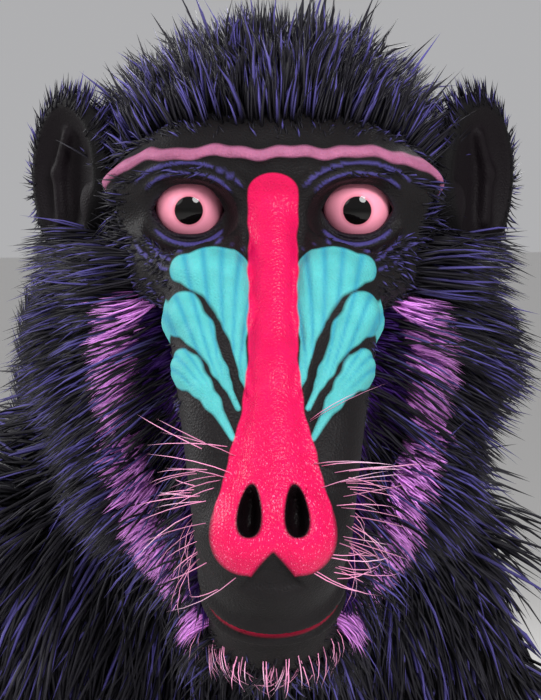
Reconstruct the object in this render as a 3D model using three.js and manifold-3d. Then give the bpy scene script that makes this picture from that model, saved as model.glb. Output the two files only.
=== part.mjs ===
import * as THREE from "three";
import { mergeVertices } from "three/addons/utils/BufferGeometryUtils.js";
import Module from "manifold-3d";

// An adult male mandrill, life size, standing on all fours with its head turned a little to its right.
// Millimetres, +Z up. The animal faces -Y and its left side is at +X. The floor is z = 0.

const wasm = await Module();
wasm.setup();

// Driving dimensions
const withersHeight = 568;
const rumpHeight = 516;
const chestDepth = 264;
const chestWidth = 242;
const chestFront = -226;
const rumpBack = 330;
const eyeHeight = 636;
const headReach = 312;
const headOffset = -27;
const headYaw = THREE.MathUtils.degToRad(-15);
const headPitch = THREE.MathUtils.degToRad(6);
const eyeSpacing = 68;
const eyeballRadius = 15;
const muzzleLength = 162;
const muzzleSlope = THREE.MathUtils.degToRad(57);
const mouthDepth = 41;
const gap = 0.3;

const left = 1;
const right = -1;
const sides = [
  ["left", left],
  ["right", right],
];

// Forms: distance functions that are blended, then wrapped by a three.js sphere
const vec = (x, y, z) => new THREE.Vector3(x, y, z);

function ball(centre, radii) {
  const c = vec(...centre);
  const r = vec(...radii);
  return (p) => {
    const q = p.clone().sub(c);
    const near = q.clone().divide(r).length();
    const steep = q.divide(r.clone().multiply(r)).length();
    return steep < 1e-9 ? -Math.min(r.x, r.y, r.z) : (near * (near - 1)) / steep;
  };
}

function bar(from, to, radiusFrom, radiusTo = radiusFrom) {
  const a = vec(...from);
  const run = vec(...to).sub(a);
  return (p) => {
    const q = p.clone().sub(a);
    const t = THREE.MathUtils.clamp(q.dot(run) / run.lengthSq(), 0, 1);
    return q.addScaledVector(run, -t).length() - THREE.MathUtils.lerp(radiusFrom, radiusTo, t);
  };
}

function blend(width, ...forms) {
  return (p) =>
    forms
      .map((form) => form(p))
      .reduce((a, b) => {
        const near = Math.max(width - Math.abs(a - b), 0) / width;
        return Math.min(a, b) - near * near * width * 0.25;
      });
}

// The outermost crossing of a form along a ray
function surfaceAlong(form, origin, direction, reach = 320) {
  const p = vec(0, 0, 0);
  let far = reach;
  for (let step = 0; step < 160 && far > 0; step++) {
    const d = form(p.copy(origin).addScaledVector(direction, far));
    if (d < 0.02) break;
    far -= Math.max(d * 0.6, 0.02);
  }
  return p.copy(origin).addScaledVector(direction, Math.max(far, 0.5)).clone();
}

// Solids
function bare(geometry) {
  const g = geometry.clone();
  g.deleteAttribute("normal");
  g.deleteAttribute("uv");
  return mergeVertices(g, 1e-5);
}

function solidOf(geometry) {
  const g = geometry.getAttribute("uv") ? bare(geometry) : geometry;
  return new wasm.Manifold(
    new wasm.Mesh({
      numProp: 3,
      vertProperties: new Float32Array(g.getAttribute("position").array),
      triVerts: new Uint32Array(g.index.array),
    }),
  );
}

function reshape(geometry, place) {
  const g = bare(geometry);
  const at = g.getAttribute("position");
  for (let i = 0; i < at.count; i++) {
    const p = place(vec(at.getX(i), at.getY(i), at.getZ(i)));
    at.setXYZ(i, p.x, p.y, p.z);
  }
  return g;
}

// A sphere stretched along a line inside the form, each vertex moved out to the form's surface
function wrap(form, from, to, around, along, grow = 0) {
  const a = vec(...from);
  const b = vec(...to);
  const axis = b.clone().sub(a).normalize();
  const side = vec(1, 0, 0).addScaledVector(axis, -axis.x).normalize();
  const turn = new THREE.Matrix4().makeBasis(side, axis, side.clone().cross(axis));
  const grown = (p) => form(p) - grow;
  return solidOf(
    reshape(new THREE.SphereGeometry(1, around, along), (unit) => {
      const origin = a.clone().lerp(b, (unit.y + 1) / 2);
      return surfaceAlong(grown, origin, unit.applyMatrix4(turn));
    }),
  );
}

const join = (...solids) => solids.reduce((a, b) => a.add(b));
const cut = (solid, ...tools) => tools.reduce((a, b) => a.subtract(b), solid);

function largest(solid) {
  const pieces = solid.decompose();
  return pieces.reduce((a, b) => (b.volume() > a.volume() ? b : a));
}

// Everything on the side of a plane that its normal points to
function beyond(point, normal, size = 2400) {
  const facing = new THREE.Quaternion().setFromUnitVectors(vec(0, 0, 1), vec(...normal).normalize());
  const block = new THREE.BoxGeometry(size, size, size).translate(0, 0, size / 2);
  return solidOf(block.applyQuaternion(facing).translate(...point));
}

// A solid parted in two by a thin plane cut
function part(solid, point, normal) {
  const n = vec(...normal).normalize();
  const shifted = (by) => vec(...point).addScaledVector(n, by).toArray();
  return [
    largest(solid.intersect(beyond(shifted(gap / 2), n.toArray()))),
    largest(solid.intersect(beyond(shifted(-gap / 2), n.clone().negate().toArray()))),
  ];
}

// A lock of hair leaves the skin along its rise and bends over towards its fall
const lockSunk = 9;
const lockFlatness = 0.42;
THREE.MathUtils.seededRandom(41);
const vary = (spread) => 1 + spread * (2 * THREE.MathUtils.seededRandom() - 1);

function lock(at, rise, fall, long, wide, twist = 0.35, steps = 3) {
  const up = vec(...rise).normalize();
  const over = vec(...fall).normalize();
  const length = long * vary(0.14);
  const start = at.clone().addScaledVector(up, -lockSunk);
  const middle = at.clone().addScaledVector(up, length * 0.5);
  const tip = at.clone().addScaledVector(up, length * 0.62).addScaledVector(over, length * 0.6 * vary(0.15));
  return {
    path: new THREE.QuadraticBezierCurve3(start, middle, tip),
    across: up.clone().cross(over).normalize().applyAxisAngle(up, twist * (vary(1) - 1)),
    wide: wide * vary(0.12),
    steps,
  };
}

// The lock's solid: a four-sided taper, wide across and thin through
function lockSolid({ path, across, wide, steps }, grow = 0) {
  return solidOf(
    reshape(new THREE.ConeGeometry(1, 1, 4, steps), (p) => {
      const along = p.y + 0.5;
      const radius = Math.hypot(p.x, p.z) || 1;
      const forward = path.getTangent(along);
      const side = across.clone().addScaledVector(forward, -across.dot(forward)).normalize();
      const through = side.clone().cross(forward);
      const half = wide * (1 - along ** 1.7);
      return path
        .getPoint(along)
        .addScaledVector(side, (p.x / radius) * (half + grow))
        .addScaledVector(through, (p.z / radius) * (half * lockFlatness + grow))
        .addScaledVector(forward, along > 0.99 ? 3 * grow : 0);
    }),
  );
}

const lockSolids = (locks, grow = 0) => join(...locks.map((each) => lockSolid(each, grow)));

const root = new THREE.Group();
const headGroup = new THREE.Group();
headGroup.position.set(headOffset, -headReach, eyeHeight);
headGroup.rotation.set(headPitch, 0, headYaw, "ZYX");
root.add(headGroup);

function addNode(name, solid, material, group = root) {
  const made = solid.getMesh();
  const g = new THREE.BufferGeometry();
  g.setAttribute("position", new THREE.BufferAttribute(made.vertProperties, 3));
  g.setIndex(new THREE.BufferAttribute(made.triVerts, 1));
  g.computeVertexNormals();
  const mesh = new THREE.Mesh(g, material);
  mesh.name = name;
  group.add(mesh);
}

const inBody = (solid) => {
  headGroup.updateMatrixWorld();
  return solid.transform(headGroup.matrix.toArray());
};

// Materials
const finish = (color, roughness, metalness = 0) =>
  new THREE.MeshStandardMaterial({ color, roughness, metalness });
const coat = finish(0x1c1a22, 0.9);
const maneCoat = finish(0x2a2740, 0.9);
const faceSkin = finish(0x201e1f, 0.65);
const noseSkin = finish(0xd81f4e, 0.4);
const ridgeSkin = finish(0x4fb4cc, 0.45);
const browSkin = finish(0xb56f92, 0.6);
const earSkin = finish(0x2a2226, 0.7);
const eyeGloss = finish(0xd9788a, 0.1);
const rumpSkin = finish(0x6f5fae, 0.5);
const padSkin = finish(0xd77c95, 0.55);
const handSkin = finish(0x171516, 0.7);

// Head, in its own frame: the origin lies midway between the eyes
const eyeAt = (side) => [(side * eyeSpacing) / 2, 10, 0];
const noseRoot = { y: -14, z: 8 };
// A point given by its offset from the middle, its share of the muzzle and its rise off the bridge
function onMuzzle(x, share, rise) {
  const down = share * muzzleLength;
  const y = noseRoot.y - Math.cos(muzzleSlope) * down - Math.sin(muzzleSlope) * rise;
  const z = noseRoot.z - Math.sin(muzzleSlope) * down + Math.cos(muzzleSlope) * rise;
  return [x, y, z];
}

const cranium = ball([0, 58, 6], [64, 70, 49]);
const forehead = ball([0, 14, 11], [57, 26, 25]);
const browRidge = blend(
  8,
  bar([0, -7, 23], [36, -1, 21], 9, 8),
  bar([0, -7, 23], [-36, -1, 21], 9, 8),
  bar([36, -1, 21], [59, 14, 8], 8, 7),
  bar([-36, -1, 21], [-59, 14, 8], 8, 7),
);
const muzzleTop = blend(
  10,
  bar(onMuzzle(26, 0.15, -15), onMuzzle(15, 0.84, -15), 19, 15),
  bar(onMuzzle(-26, 0.15, -15), onMuzzle(-15, 0.84, -15), 19, 15),
);
const muzzleUnder = bar(onMuzzle(0, 0.08, -58), onMuzzle(0, 0.87, -35), 42, 27);
const cheekbones = blend(
  12,
  bar([44, 0, -22], [56, 44, -14], 15, 14),
  bar([-44, 0, -22], [-56, 44, -14], 15, 14),
);
const jawMuscles = blend(
  12,
  ball([44, 40, -58], [22, 34, 44]),
  ball([-44, 40, -58], [22, 34, 44]),
);
const lowerJaw = blend(
  16,
  bar([0, 26, -100], onMuzzle(0, 0.84, -62), 36, 25),
  ball(onMuzzle(0, 0.98, -60), [25, 20, 20]),
);
const headForm = blend(
  16,
  cranium,
  forehead,
  browRidge,
  muzzleTop,
  muzzleUnder,
  cheekbones,
  jawMuscles,
  lowerJaw,
);
const headSpine = [[0, 56, 4], onMuzzle(0, 0.74, -36)];
const headShell = (grow) => wrap(headForm, ...headSpine, 24, 21, grow);
const socketAt = (side) => [side * (eyeSpacing / 2 + 1), -14, -1];
const socket = (side) =>
  solidOf(new THREE.SphereGeometry(1, 10, 7).scale(20, 17, 15).translate(...socketAt(side)));

// Nose: a bare ridge from the brow that widens into two nostril lobes
const noseForm = blend(
  7,
  bar(onMuzzle(0, -0.13, -9), onMuzzle(0, 0.47, -7), 11, 11),
  bar(onMuzzle(0, 0.47, -7), onMuzzle(0, 0.8, -12), 11, 20),
  ball(onMuzzle(9.5, 0.865, -9), [15, 15, 16]),
  ball(onMuzzle(-9.5, 0.865, -9), [15, 15, 16]),
);
const noseShell = (grow) => wrap(noseForm, onMuzzle(0, -0.1, -11), onMuzzle(0, 0.87, -11), 14, 12, grow);
const nostril = (side) =>
  solidOf(
    new THREE.SphereGeometry(1, 8, 6)
      .scale(4.6, 9, 11)
      .rotateX(muzzleSlope - Math.PI / 2)
      .rotateY(side * 0.15)
      .translate(...onMuzzle(side * 9, 0.835, 7)),
  );

// Three fleshy ridges a side fan from beside the nose up and out over the cheekbone
const ridgeTips = [
  { out: 14, down: 0.475, rise: -2, radius: 4 },
  { out: 15, down: 0.54, rise: -2, radius: 3.5 },
  { out: 16, down: 0.625, rise: -2, radius: 3.5 },
];
const ridgeEnds = [
  { out: 25.6, down: 0.207, rise: -6, radius: 15.3 },
  { out: 34.5, down: 0.31, rise: -4, radius: 10.5 },
  { out: 34, down: 0.448, rise: -7, radius: 9.4 },
];
function ridges(side, grow = 0) {
  const place = ({ out, down, rise }) => onMuzzle(side * out, down, rise);
  return join(
    ...ridgeEnds.map((end, i) => {
      const tip = ridgeTips[i];
      return wrap(bar(place(tip), place(end), tip.radius, end.radius), place(tip), place(end), 7, 5, grow);
    }),
  );
}

// Eyes in their sockets, with a lid form round each and an almond opening between the lids
const eye = (side, grow = 0) =>
  solidOf(new THREE.SphereGeometry(eyeballRadius + grow, 10, 8).translate(...eyeAt(side)));
const lidThickness = 2.6;
const lids = (side) => eye(side, lidThickness);
const lidOpening = { width: 28, height: 21.5 };
function lidGap(side) {
  const w = lidOpening.width / 2;
  const h = lidOpening.height / 2;
  const almond = new THREE.Shape()
    .moveTo(-w, 0)
    .quadraticCurveTo(0, h * 2.2, w, 0)
    .quadraticCurveTo(0, -h * 1.8, -w, 0);
  const depth = 40;
  const g = new THREE.ExtrudeGeometry(almond, { depth, bevelEnabled: false, curveSegments: 4 });
  const [x, y, z] = eyeAt(side);
  return solidOf(g.rotateX(Math.PI / 2).translate(x, y, z));
}

// Brow band: a strip of bare skin along the top of the brow ridge
const browBandRadius = 4.2;
const browBandSpread = 1.25;
function browBand() {
  const roots = [];
  const count = 11;
  for (let i = 0; i < count; i++) {
    const turn = THREE.MathUtils.lerp(-browBandSpread, browBandSpread, i / (count - 1));
    const aim = vec(Math.sin(turn), -Math.cos(turn), 0.045 - 0.1 * turn ** 4).normalize();
    roots.push(surfaceAlong(headForm, vec(0, 40, 24), aim));
  }
  const section = new THREE.Shape().absarc(0, 0, browBandRadius, 0, 2 * Math.PI);
  return solidOf(
    new THREE.ExtrudeGeometry(section, {
      steps: 10,
      curveSegments: 3,
      extrudePath: new THREE.CatmullRomCurve3(roots),
      bevelEnabled: false,
    }),
  );
}

// Mouth: the lower jaw is parted from the head along the lips, then level back to the jaw's angle
const mouthFront = onMuzzle(0, 0.93, -mouthDepth);
const mouthCornerHeight = onMuzzle(0, 0.46, -mouthDepth)[2];
const mouthNormal = [0, Math.sin(muzzleSlope), -Math.cos(muzzleSlope)];
function jawRegion(shift) {
  const at = vec(...mouthFront).addScaledVector(vec(...mouthNormal), shift);
  const under = beyond([0, 0, mouthCornerHeight - shift], [0, 0, -1]);
  return beyond(at.toArray(), mouthNormal).intersect(under);
}

// Lips: a soft rim above and below the line of the mouth, sunk into the face at its corners
const lipRadius = 3.4;
function lip(offMouth) {
  const middle = vec(...onMuzzle(0, 0.66, -mouthDepth));
  const forward = vec(0, -Math.cos(muzzleSlope), -Math.sin(muzzleSlope));
  const roots = [];
  for (let i = -5; i <= 5; i++) {
    const turn = i * 0.36;
    const aim = vec(Math.sin(turn), 0, 0).addScaledVector(forward, Math.cos(turn));
    const inward = 1.2 + Math.max(Math.abs(i) - 3, 0) * 2.4;
    const at = surfaceAlong(headForm, middle, aim).addScaledVector(aim, -inward);
    roots.push(at.addScaledVector(vec(...mouthNormal), offMouth));
  }
  return solidOf(
    new THREE.ExtrudeGeometry(new THREE.Shape().absarc(0, 0, lipRadius, 0, 2 * Math.PI), {
      steps: 10,
      curveSegments: 3,
      extrudePath: new THREE.CatmullRomCurve3(roots),
      bevelEnabled: false,
    }),
  );
}

// Ears: a cup on each side of the head, open forwards and outwards
const earAt = (side) => [side * 84, 54, 6];
const earTurn = 0.75;
function ear(side, grow = 0) {
  const shell = new THREE.SphereGeometry(1, 10, 8).scale(24 + grow, 10 + grow, 37 + grow);
  const cup = new THREE.SphereGeometry(1, 8, 6).scale(16.5, 9.5, 29).translate(side * 2, -7, 1);
  const place = (g) => solidOf(g.rotateZ(side * earTurn).translate(...earAt(side)));
  return grow ? place(shell) : cut(place(shell), place(cup));
}

// Crest: hair that stands up from the brow and crown and bends back
const crestCore = blend(14, ball([0, 60, 24], [60, 64, 50]), ball([0, 46, 50], [26, 44, 28]));
const crownMiddle = vec(0, 52, 14);
const crestRows = [
  { pitch: -1.0, count: 6, spread: 0.85, long: 30, wide: 10, up: 1.0 },
  { pitch: -0.6, count: 6, spread: 1.1, long: 36, wide: 12, up: 0.8 },
  { pitch: -0.05, count: 6, spread: 1.05, long: 40, wide: 13, up: 0.2 },
  { pitch: 0.5, count: 6, spread: 1.1, long: 45, wide: 15, up: -0.15 },
  { pitch: 1.0, count: 5, spread: 1.0, long: 52, wide: 17, up: -0.35 },
];
const crestLocks = crestRows.flatMap(({ pitch, count, spread, long, wide, up }) =>
  Array.from({ length: count }, (_, i) => {
    const roll = THREE.MathUtils.lerp(-spread, spread, i / (count - 1));
    const level = Math.cos(roll);
    const aim = vec(Math.sin(roll), Math.sin(pitch) * level, Math.cos(pitch) * level);
    const at = surfaceAlong(crestCore, crownMiddle, aim);
    const rise = [aim.x * 1.1, aim.y * 0.7, aim.z + up];
    const fall = [aim.x * 0.5, 1, 0.2 - 0.8 * pitch];
    return lock(at, rise, fall, long * (1 - 0.2 * roll ** 2), wide, 0.8);
  }),
);
const crestShell = (grow) => wrap(crestCore, [0, 44, 40], [0, 70, 40], 10, 7, grow);
const crest = (grow) => join(crestShell(grow), lockSolids(crestLocks, grow));

// Ruff: long hair that sweeps out, back and down from each cheek, from the ear to the throat
const ruffLine = new THREE.CatmullRomCurve3([
  vec(64, 50, -20),
  vec(70, 54, -66),
  vec(56, 32, -116),
  vec(30, 2, -150),
]);
const ruffRadii = [15, 19, 18, 12];
const onSide = (p, side) => [p.x * side, p.y, p.z];
const ruffCore = (side) =>
  blend(
    16,
    ...[0, 1, 2].map((i) => {
      const [from, to] = [ruffLine.points[i], ruffLine.points[i + 1]];
      return bar(onSide(from, side), onSide(to, side), ruffRadii[i], ruffRadii[i + 1]);
    }),
  );
const ruffTiers = [
  { forward: 0.7, count: 6, long: 33, wide: 12 },
  { forward: -0.1, count: 6, long: 39, wide: 13 },
  { forward: -0.75, count: 5, long: 48, wide: 15 },
];
const ruffLocks = (side) =>
  ruffTiers.flatMap(({ forward, count, long, wide }) =>
    Array.from({ length: count }, (_, i) => {
      const down = i / (count - 1);
      const from = vec(...onSide(ruffLine.getPoint(0.06 + 0.9 * down), side));
      const aim = vec(side * (1 - 0.5 * down), -forward, 0.15 - 0.95 * down).normalize();
      const at = surfaceAlong(ruffCore(side), from, aim);
      const fall = [side * 0.2, 0.8, -0.55 - 0.3 * down];
      return lock(at, aim.toArray(), fall, long * (1 - 0.25 * down), wide);
    }),
  );
const ruffLocksLeft = ruffLocks(left);
const ruffLocksRight = ruffLocks(right);
function ruff(side, grow) {
  const core = wrap(ruffCore(side), [side * 66, 50, -34], [side * 42, 16, -136], 10, 8, grow);
  return join(core, lockSolids(side === left ? ruffLocksLeft : ruffLocksRight, grow));
}

// Beard: short pointed hair under the chin
const beardLocks = [
  { back: 0.02, count: 3, long: 24 },
  { back: 0.16, count: 4, long: 38 },
  { back: 0.32, count: 3, long: 44 },
].flatMap(({ back, count, long }) =>
  Array.from({ length: count }, (_, i) => {
    const across = THREE.MathUtils.lerp(-1, 1, i / (count - 1));
    const from = vec(...onMuzzle(across * 9, 0.9 - back, -60));
    const at = surfaceAlong(headForm, from, vec(across * 0.5, 0.3, -1).normalize());
    return lock(at, [across * 0.45, -0.1, -1], [across * -0.2, 1, -0.6], long, 8.5);
  }),
);
const beard = (grow) => lockSolids(beardLocks, grow);

const crestGrown = crest(gap);
const beardGrown = beard(gap);
const skull = cut(headShell(0), socket(left), socket(right));
const face = join(skull, crest(0), lids(left), lids(right), lip(lipRadius * 0.85), lip(lipRadius * -0.85));
const headWhole = cut(face, eye(left, gap), eye(right, gap), lidGap(left), lidGap(right));
const headGrown = join(headShell(gap), eye(left, lidThickness + gap), eye(right, lidThickness + gap));
const onHead = (solid, ...others) => largest(cut(solid, headGrown, crestGrown, ...others));
addNode("head", largest(headWhole.subtract(jawRegion(-gap))), coat, headGroup);
addNode("jaw", largest(join(headWhole, beard(0)).intersect(jawRegion(gap))), faceSkin, headGroup);
addNode("nose", onHead(cut(noseShell(0), nostril(left), nostril(right))), noseSkin, headGroup);
addNode("brow_band", onHead(browBand(), noseShell(gap)), browSkin, headGroup);
for (const [name, side] of sides) {
  addNode("eye_" + name, eye(side), eyeGloss, headGroup);
  addNode("cheek_ridges_" + name, onHead(ridges(side), noseShell(gap)), ridgeSkin, headGroup);
  addNode("ear_" + name, onHead(ear(side)), earSkin, headGroup);
  addNode("ruff_" + name, onHead(ruff(side, 0), ear(side, gap), beardGrown), maneCoat, headGroup);
}

// Trunk
const chestMid = withersHeight - chestDepth / 2 - 4;
const trunkForm = blend(
  46,
  ball([0, chestFront + 155, chestMid - 8], [chestWidth / 2, 155, chestDepth / 2]),
  ball([0, chestFront + 118, withersHeight - 52], [76, 92, 50]),
  ball([68, chestFront + 98, 462], [50, 70, 66]),
  ball([-68, chestFront + 98, 462], [50, 70, 66]),
  ball([0, 95, 424], [106, 150, 108]),
  ball([0, rumpBack - 106, rumpHeight - 98], [104, 106, 98]),
);
const trunkShell = (grow) =>
  wrap(trunkForm, [0, chestFront + 100, 430], [0, rumpBack - 90, 424], 20, 19, grow);
const chestEnd = 15;
const loinEnd = 150;
const [behindChest, chest] = part(trunkShell(0), [0, chestEnd, 0], [0, 1, 0]);
const [rumpWhole, loin] = part(behindChest, [0, loinEnd, 0], [0, 1, 0]);

// Bare rump skin, with a sitting pad on each side of the tail
const rumpPatchRadius = 62;
const rumpPatch = (grow = 0) =>
  solidOf(
    new THREE.CylinderGeometry(rumpPatchRadius + grow, rumpPatchRadius + grow, 98, 10)
      .scale(1, 1, 1.15)
      .translate(0, rumpBack + 20 - grow, rumpHeight - 104),
  );
const sittingPad = (side, grow = 0) =>
  solidOf(
    new THREE.SphereGeometry(1, 8, 6)
      .scale(19 + grow, 11 + grow, 30 + grow)
      .rotateY(side * 0.25)
      .translate(side * 29, rumpBack - 12, rumpHeight - 118),
  );

// Tail: a short upright stub
const tailRoot = [0, rumpBack - 30, rumpHeight - 30];
const tailTip = [0, rumpBack, rumpHeight + 38];
const tailForm = blend(10, bar(tailRoot, tailTip, 24, 16), ball(tailTip, [17, 17, 24]));
const tailShell = (grow) => wrap(tailForm, tailRoot, tailTip, 8, 6, grow);

// Neck, with a mane that lies back from its top and sides over the withers
const neckTop = [headOffset / 2, -228, 584];
const neckBase = [0, -150, 504];
const neckForm = blend(30, bar(neckBase, neckTop, 84, 64), ball([headOffset / 2, -204, 604], [54, 50, 46]));
const neckShell = (grow) => wrap(neckForm, [0, -160, 512], [headOffset / 2, -220, 594], 14, 10, grow);
const neckRun = vec(...neckBase).sub(vec(...neckTop)).normalize();
const maneRows = [
  { along: 0.0, count: 6, spread: 1.7, long: 62, wide: 19 },
  { along: 0.4, count: 6, spread: 1.9, long: 66, wide: 22 },
  { along: 0.8, count: 5, spread: 1.6, long: 70, wide: 25 },
];
const maneLocks = maneRows.flatMap(({ along, count, spread, long, wide }) =>
  Array.from({ length: count }, (_, i) => {
    const turn = THREE.MathUtils.lerp(-spread, spread, i / (count - 1));
    const up = vec(0, 0, 1).addScaledVector(neckRun, -neckRun.z).normalize();
    const aim = vec(1, 0, 0).multiplyScalar(Math.sin(turn)).addScaledVector(up, Math.cos(turn));
    const from = vec(...neckTop).lerp(vec(...neckBase), along);
    const at = surfaceAlong(neckForm, from, aim);
    const lie = neckRun.clone().add(vec(0, 0.5, -0.3 * Math.abs(Math.sin(turn))));
    const rise = aim.clone().multiplyScalar(0.85).addScaledVector(lie, 0.8);
    return lock(at, rise.toArray(), lie.toArray(), long, wide);
  }),
);

// Mantle: long hair over the withers and shoulders, below the mane
const mantleRows = [
  { y: -92, count: 6, spread: 1.25, long: 74, wide: 22 },
  { y: -34, count: 4, spread: 0.85, long: 80, wide: 26 },
];
const mantleLocks = mantleRows.flatMap(({ y, count, spread, long, wide }) =>
  Array.from({ length: count }, (_, i) => {
    const turn = THREE.MathUtils.lerp(-spread, spread, i / (count - 1));
    const aim = vec(Math.sin(turn), 0, Math.cos(turn));
    const at = surfaceAlong(trunkForm, vec(0, y, 440), aim);
    const lie = [0.1 * aim.x, 1, -0.35 - 0.5 * Math.abs(aim.x)];
    const rise = aim.clone().multiplyScalar(0.7).add(vec(...lie));
    return lock(at, rise.toArray(), lie, long, wide);
  }),
);

const headCutters = [
  headGrown,
  crestGrown,
  beardGrown,
  ruff(left, gap),
  ruff(right, gap),
  ear(left, gap),
  ear(right, gap),
].map(inBody);
const trunkGrown = trunkShell(gap);
const neckGrown = neckShell(gap);
const maneGrown = lockSolids(maneLocks, gap);
const neck = join(neckShell(0), lockSolids(maneLocks));
addNode("neck", largest(cut(neck, trunkGrown, ...headCutters)), maneCoat);
const mantleGrown = lockSolids(mantleLocks, gap);
const overTrunk = cut(join(neckGrown, maneGrown, ...headCutters), trunkShell(0));
addNode("chest", largest(cut(join(chest, lockSolids(mantleLocks)), overTrunk)), coat);
addNode("loin", loin, coat);
const rumpTools = [sittingPad(left, gap), sittingPad(right, gap), tailShell(gap)];
addNode("rump", largest(cut(rumpWhole, rumpPatch(gap), tailShell(gap))), coat);
addNode("rump_skin", largest(cut(rumpWhole.intersect(rumpPatch()), ...rumpTools)), rumpSkin);
addNode("tail", tailShell(0), coat);

// Legs. A stance shift moves each foot a little fore or aft of its pair.
const stance = { foreleft: -22, foreright: 14, hindleft: 18, hindright: -22 };

function digits(side, knuckles, reach, spread, radius, height, count) {
  const made = [];
  for (let i = 0; i < count; i++) {
    const across = (i / (count - 1) - 0.5) * 2;
    const [x, y, z] = knuckles;
    const root = [x + side * across * spread, y, z];
    const long = reach * (1 - 0.14 * (across - 0.1) ** 2);
    const mid = [root[0] + side * across * 3, y - long * 0.5, height + 5];
    const tip = [root[0] + side * across * 5, y - long, height];
    const form = blend(5, bar(root, mid, radius + 1.5, radius), bar(mid, tip, radius, radius - 1));
    made.push(wrap(form, root, tip, 6, 4));
  }
  return join(...made);
}

const aboveFloor = beyond([0, 0, 0], [0, 0, 1]);

function foreleg(name, side) {
  const shift = stance["fore" + name];
  const shoulder = [side * 98, -128, 432];
  const elbow = [side * 116, -96 + shift * 0.4, 270];
  const wrist = [side * 110, -160 + shift, 96];
  const knuckles = [side * 112, -196 + shift, 26];
  const upperForm = blend(
    26,
    ball(shoulder, [44, 66, 92]),
    bar([side * 104, -142, 400], elbow, 54, 45),
    ball([side * 116, -70 + shift * 0.4, 286], [26, 26, 34]),
  );
  const lowerForm = blend(
    18,
    bar(elbow, wrist, 45, 27),
    ball([side * 118, -90 + shift * 0.4, 244], [47, 49, 60]),
  );
  const bend = vec(...wrist).sub(vec(...shoulder)).normalize().toArray();
  const upper = wrap(upperForm, [side * 100, -132, 440], elbow, 12, 10);
  const lower = wrap(lowerForm, elbow, wrist, 12, 9);
  const aboveElbow = beyond(elbow, [-bend[0], -bend[1], -bend[2]]);
  const belowElbow = beyond(vec(...elbow).addScaledVector(vec(...bend), gap).toArray(), bend);
  const upperArm = cut(upper.intersect(aboveElbow), trunkGrown, neckGrown, mantleGrown);
  addNode("upper_arm_" + name, largest(upperArm), coat);
  const wristDown = vec(...knuckles).sub(vec(...wrist)).normalize();
  const aboveWrist = beyond(wrist, wristDown.clone().negate().toArray());
  const belowWrist = beyond(vec(...wrist).addScaledVector(wristDown, gap).toArray(), wristDown.toArray());
  addNode("forearm_" + name, largest(lower.intersect(belowElbow).intersect(aboveWrist)), coat);
  const palmForm = blend(
    10,
    bar(wrist, knuckles, 23, 17),
    ball([knuckles[0], knuckles[1] + 4, 14], [35, 19, 15]),
  );
  const palm = wrap(palmForm, wrist, [knuckles[0], knuckles[1] + 4, 24], 10, 7);
  const fingers = digits(side, [knuckles[0], knuckles[1], 18], 70, 26, 8.5, 7, 4);
  const thumbRoot = [side * 92, -176 + shift, 42];
  const thumbTip = [side * 76, -208 + shift, 8];
  const thumb = wrap(bar(thumbRoot, thumbTip, 11, 8.2), thumbRoot, thumbTip, 6, 4);
  const hand = join(palm, fingers, thumb).intersect(belowWrist).intersect(aboveFloor);
  addNode("hand_" + name, largest(hand), handSkin);
}

function hindleg(name, side) {
  const shift = stance["hind" + name];
  const hip = [side * 84, 206, 408];
  const knee = [side * 116, 126 + shift * 0.5, 262];
  const ankle = [side * 106, 238 + shift, 92];
  const heel = [side * 106, 258 + shift, 25];
  const ballOfFoot = [side * 112, 150 + shift, 20];
  const thighForm = blend(
    30,
    ball([side * 84, 208, 396], [46, 88, 104]),
    bar([side * 92, 190, 380], knee, 66, 48),
  );
  const shankForm = blend(
    20,
    bar(knee, ankle, 46, 24),
    ball([side * 114, 158 + shift * 0.6, 222], [39, 43, 52]),
  );
  const thigh = wrap(thighForm, hip, knee, 12, 10);
  const shank = wrap(shankForm, knee, ankle, 12, 9);
  const bend = vec(0, 0.1, -1).normalize();
  const aboveKnee = beyond(knee, bend.clone().negate().toArray());
  const belowKnee = beyond(vec(...knee).addScaledVector(bend, gap).toArray(), bend.toArray());
  addNode("thigh_" + name, largest(cut(thigh.intersect(aboveKnee), trunkGrown)), coat);
  const down = vec(0, 0.25, -1).normalize();
  const aboveAnkle = beyond(ankle, down.clone().negate().toArray());
  const belowAnkle = beyond(vec(...ankle).addScaledVector(down, gap).toArray(), down.toArray());
  addNode("shank_" + name, largest(shank.intersect(belowKnee).intersect(aboveAnkle)), coat);
  const footForm = blend(
    14,
    bar(ankle, heel, 23, 23),
    bar([side * 106, 240 + shift, 34], ballOfFoot, 27, 19),
    ball([ballOfFoot[0], ballOfFoot[1], 14.5], [36, 26, 16]),
  );
  const sole = wrap(footForm, [heel[0], heel[1] - 10, 34], ballOfFoot, 10, 8);
  const toes = digits(side, [ballOfFoot[0], ballOfFoot[1], 16], 66, 27, 8.8, 7.4, 4);
  const bigToeRoot = [side * 88, 190 + shift, 22];
  const bigToeTip = [side * 62, 146 + shift, 10];
  const bigToe = wrap(bar(bigToeRoot, bigToeTip, 14, 10), bigToeRoot, bigToeTip, 6, 4);
  const foot = join(sole, toes, bigToe).intersect(belowAnkle).intersect(aboveFloor);
  addNode("foot_" + name, largest(foot), handSkin);
}

for (const [name, side] of sides) {
  addNode("sitting_pad_" + name, sittingPad(side), padSkin);
  foreleg(name, side);
  hindleg(name, side);
}

// The origin is the floor point under the middle of the animal's box
const reach = new THREE.Box3().setFromObject(root, true);
root.position.set(-(reach.min.x + reach.max.x) / 2, -(reach.min.y + reach.max.y) / 2, -reach.min.z);

export default root;
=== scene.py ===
import math

import bpy
import bmesh
import numpy as np
from mathutils import Matrix, Vector


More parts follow.
